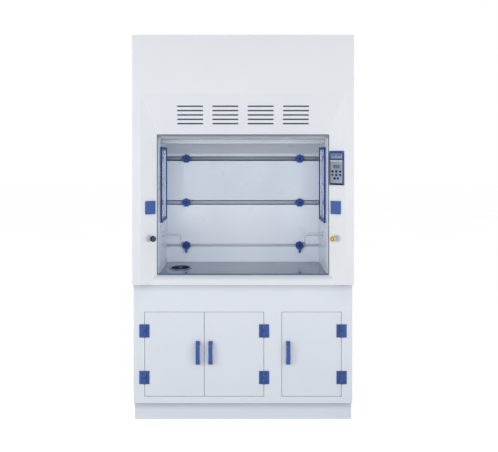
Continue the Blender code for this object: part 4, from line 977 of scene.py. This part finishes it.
def make_slot_rails():
    """A rail behind each baffle slot: three soft-edged boxes between the walls and the knobs' posts, each level
    in its own grey-blue tint, darker the higher it stands: painted shade in the slots.
    """
    front = FRONT + BAFFLE_D + BAFFLE_T + 0.0010
    deep = 0.004
    spans = ((-LINER_HALF + 0.001, -STAR_X - POST_CLEAR), (-STAR_X + POST_CLEAR, STAR_X - POST_CLEAR))
    spans += ((STAR_X + POST_CLEAR, LINER_HALF - 0.001),)
    for level, z, height in SLOT_RAILS:
        patches = []
        for low, high in spans:
            middle = ((low + high) / 2, front + deep / 2, z)
            patches.append(block_patch(middle, (high - low, deep, height), 0.0012))
        piece("slot_rail_" + level, patches, "rail_" + level)


def make_louvre_shade_plates():
    """A dark plate behind each group of louvres, painted shade in their slots: a plate 1 mm off the leaning
    header's back.
    """
    lean = np.array([0.0, -(HEADER_TOP - OPENING_TOP), -BEVEL_D])
    out = lean / np.linalg.norm(lean)
    face_y = FRONT + (HEADER_TOP - LOUVRE_MIDDLE_Z) / (HEADER_TOP - OPENING_TOP) * BEVEL_D
    patches = []
    for group in range(4):
        x = (group - 1.5) * LOUVRE_GROUP_PITCH
        origin = np.array([x, face_y, LOUVRE_MIDDLE_Z]) - (SHEET + 0.002) * out
        patches.append(plate(*LOUVRE_SHADE_SIZE, 0.003, 0.001, origin, out, 0.0002))
    piece("louvre_shade_plates", patches, "louvre_shade_sheet")


def make_sill_strip():
    """A grip strip on the sill's quarter ellipse: depth by 1 - cos a, rise by sin a, lifted off it."""
    rise = np.linspace(62, 90, 7)
    angle = np.radians(np.concatenate([rise, [90, 90], [90, 90], rise[::-1]]))
    flat = np.concatenate([np.zeros(7), [0.0075, 0.0085], [0.0085, 0.0075], np.zeros(7)])
    lift = np.concatenate([[0.0002], np.full(7, 0.0012), [0.0002], np.full(9, -0.0008)])
    sill_rise = WORKTOP_Z - SILL_NOSE_Z
    normal = np.stack([-sill_rise * np.cos(angle), SILL_DEPTH * np.sin(angle)])
    normal /= np.linalg.norm(normal, axis=0)
    depth = SILL_D + SILL_DEPTH * (1 - np.cos(angle)) + flat + lift * normal[0]
    height = SILL_NOSE_Z + sill_rise * np.sin(angle) + lift * normal[1]
    half = OPENING_HALF - 0.004
    rows = []
    for x, squeeze in ((-half, 0.0), (-half, 1.0), (half, 1.0), (half, 0.0)):
        d = depth.mean() + (depth - depth.mean()) * squeeze
        h = height.mean() + (height - height.mean()) * squeeze
        rows.append(np.stack([0 * d + x, FRONT + d, h], axis=-1))
    piece("sill_strip", [(np.stack(rows), False)], "grip_strip")


def make_sill_gussets():
    """A three-cornered gusset at each end of the sill, which carries the bevel down to its lower edge."""
    slope = (CREASE - OPENING_HALF) / BEVEL_D
    patches = []
    for side in (-1, 1):
        corners = [(0.0, BODY_BOTTOM), (GUSSET_D, BODY_BOTTOM), (GUSSET_D, SILL_BOTTOM)]
        rows = [
            [(side * (CREASE - slope * d + behind), FRONT + d + behind, z) for d, z in corners]
            for behind in (0.0004, GUSSET_T)
        ]
        middle = [np.mean(row, axis=0) for row in rows]
        patches.append((np.array([[middle[0]] * 3, *rows, [middle[1]] * 3]), False))
    piece("sill_gussets", patches, "fascia")


def make_strainer():
    """The drain's slotted grid: five bars across a ring, each sqrt(R ** 2 - d ** 2) to either side."""
    low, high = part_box("cup_sink")
    x, y = (low.x + high.x) / 2, (low.y + high.y) / 2
    z = WORKTOP_Z - STRAINER_DEPTH
    angle = np.linspace(0, math.tau, 40, endpoint=False)
    ring = np.stack([x + STRAINER_R * np.cos(angle), y + STRAINER_R * np.sin(angle), 0 * angle + z], axis=-1)
    patches = [swept(ring, 0.0018, 8, True)]
    for across in STRAINER_PITCH * np.arange(-2, 3):
        half = math.sqrt(STRAINER_R**2 - across**2)
        patches.append(bar_patch((x + across, y - half, z), (x + across, y + half, z), 0.0013))
    piece("sink_strainer", patches, "steel")


def make_camera():
    """A level camera on the vanishing point, shifted to bring the frame's middle to its place."""
    width = FRAME_PIXELS * PIXEL
    camera = bpy.data.cameras.new("camera")
    camera.sensor_width = SENSOR
    camera.lens = SENSOR * CAMERA_DISTANCE / width
    camera.shift_x = (FRAME_CENTRE[0] - VANISHING_COLUMN) / FRAME_PIXELS
    camera.shift_y = (VANISHING_ROW - FRAME_CENTRE[1]) / FRAME_PIXELS
    camera.clip_end = 60
    eye = bpy.data.objects.new("camera", camera)
    eye.location = (0, FRONT - CAMERA_DISTANCE, CAMERA_Z)
    eye.rotation_euler = (math.pi / 2, 0, 0)
    bpy.context.scene.collection.objects.link(eye)
    bpy.context.scene.camera = eye


def make_light():
    """A pale world, white to the camera, with soft lamps in front, at the sides and above."""
    world = bpy.data.worlds.new("studio")
    bpy.context.scene.world = world
    world.use_nodes = True
    tree = world.node_tree
    back = tree.nodes["Background"]
    back.inputs["Color"].default_value = (1, 1, 1, 1)
    path = add_node(tree, "ShaderNodeLightPath").outputs
    rays = {0: path["Is Camera Ray"], 1: path["Is Transmission Ray"]}
    seen = add_node(tree, "ShaderNodeMath", rays, operation="MAXIMUM").outputs[0]
    level = add_node(tree, "ShaderNodeMapRange", {"Value": seen, "To Min": AMBIENT, "To Max": 1.0})
    tree.links.new(level.outputs["Result"], back.inputs["Strength"])
    for name, spot, size, power in LAMPS:
        lamp = bpy.data.lights.new(name, "AREA")
        lamp.shape = "RECTANGLE"
        lamp.size, lamp.size_y = size
        lamp.energy = power
        holder = bpy.data.objects.new(name, lamp)
        aim = np.array(LAMP_AIM) - np.array(spot)
        level_run = math.hypot(aim[0], aim[1])
        holder.rotation_euler = (math.pi / 2 + math.atan2(aim[2], level_run), 0, math.atan2(-aim[0], aim[1]))
        holder.location = spot
        bpy.context.scene.collection.objects.link(holder)


def make_floor():
    """A flat square under the plinth."""
    half = 30.0
    mesh = bpy.data.meshes.new("floor")
    corners = [(-half, -half, 0), (half, -half, 0), (half, half, 0), (-half, half, 0)]
    mesh.from_pydata(corners, [], [(0, 1, 2, 3)])
    mesh.materials.append(floor_finish())
    floor = bpy.data.objects.new("floor", mesh)
    bpy.context.scene.collection.objects.link(floor)


dress_nodes()
make_opening_edging()
make_welds()
make_screws()
make_window_seals()
make_control_panel()
make_star_grips()
make_knob_caps()
make_valves()
make_spout_tips()
make_sash_seal()
make_cable_ends()
make_duct_trim()
make_strainer()
make_slot_rails()
make_louvre_shade_plates()
make_sill_strip()
make_sill_gussets()
make_camera()
make_light()
make_floor()
bpy.context.scene.view_settings.view_transform = "Standard"
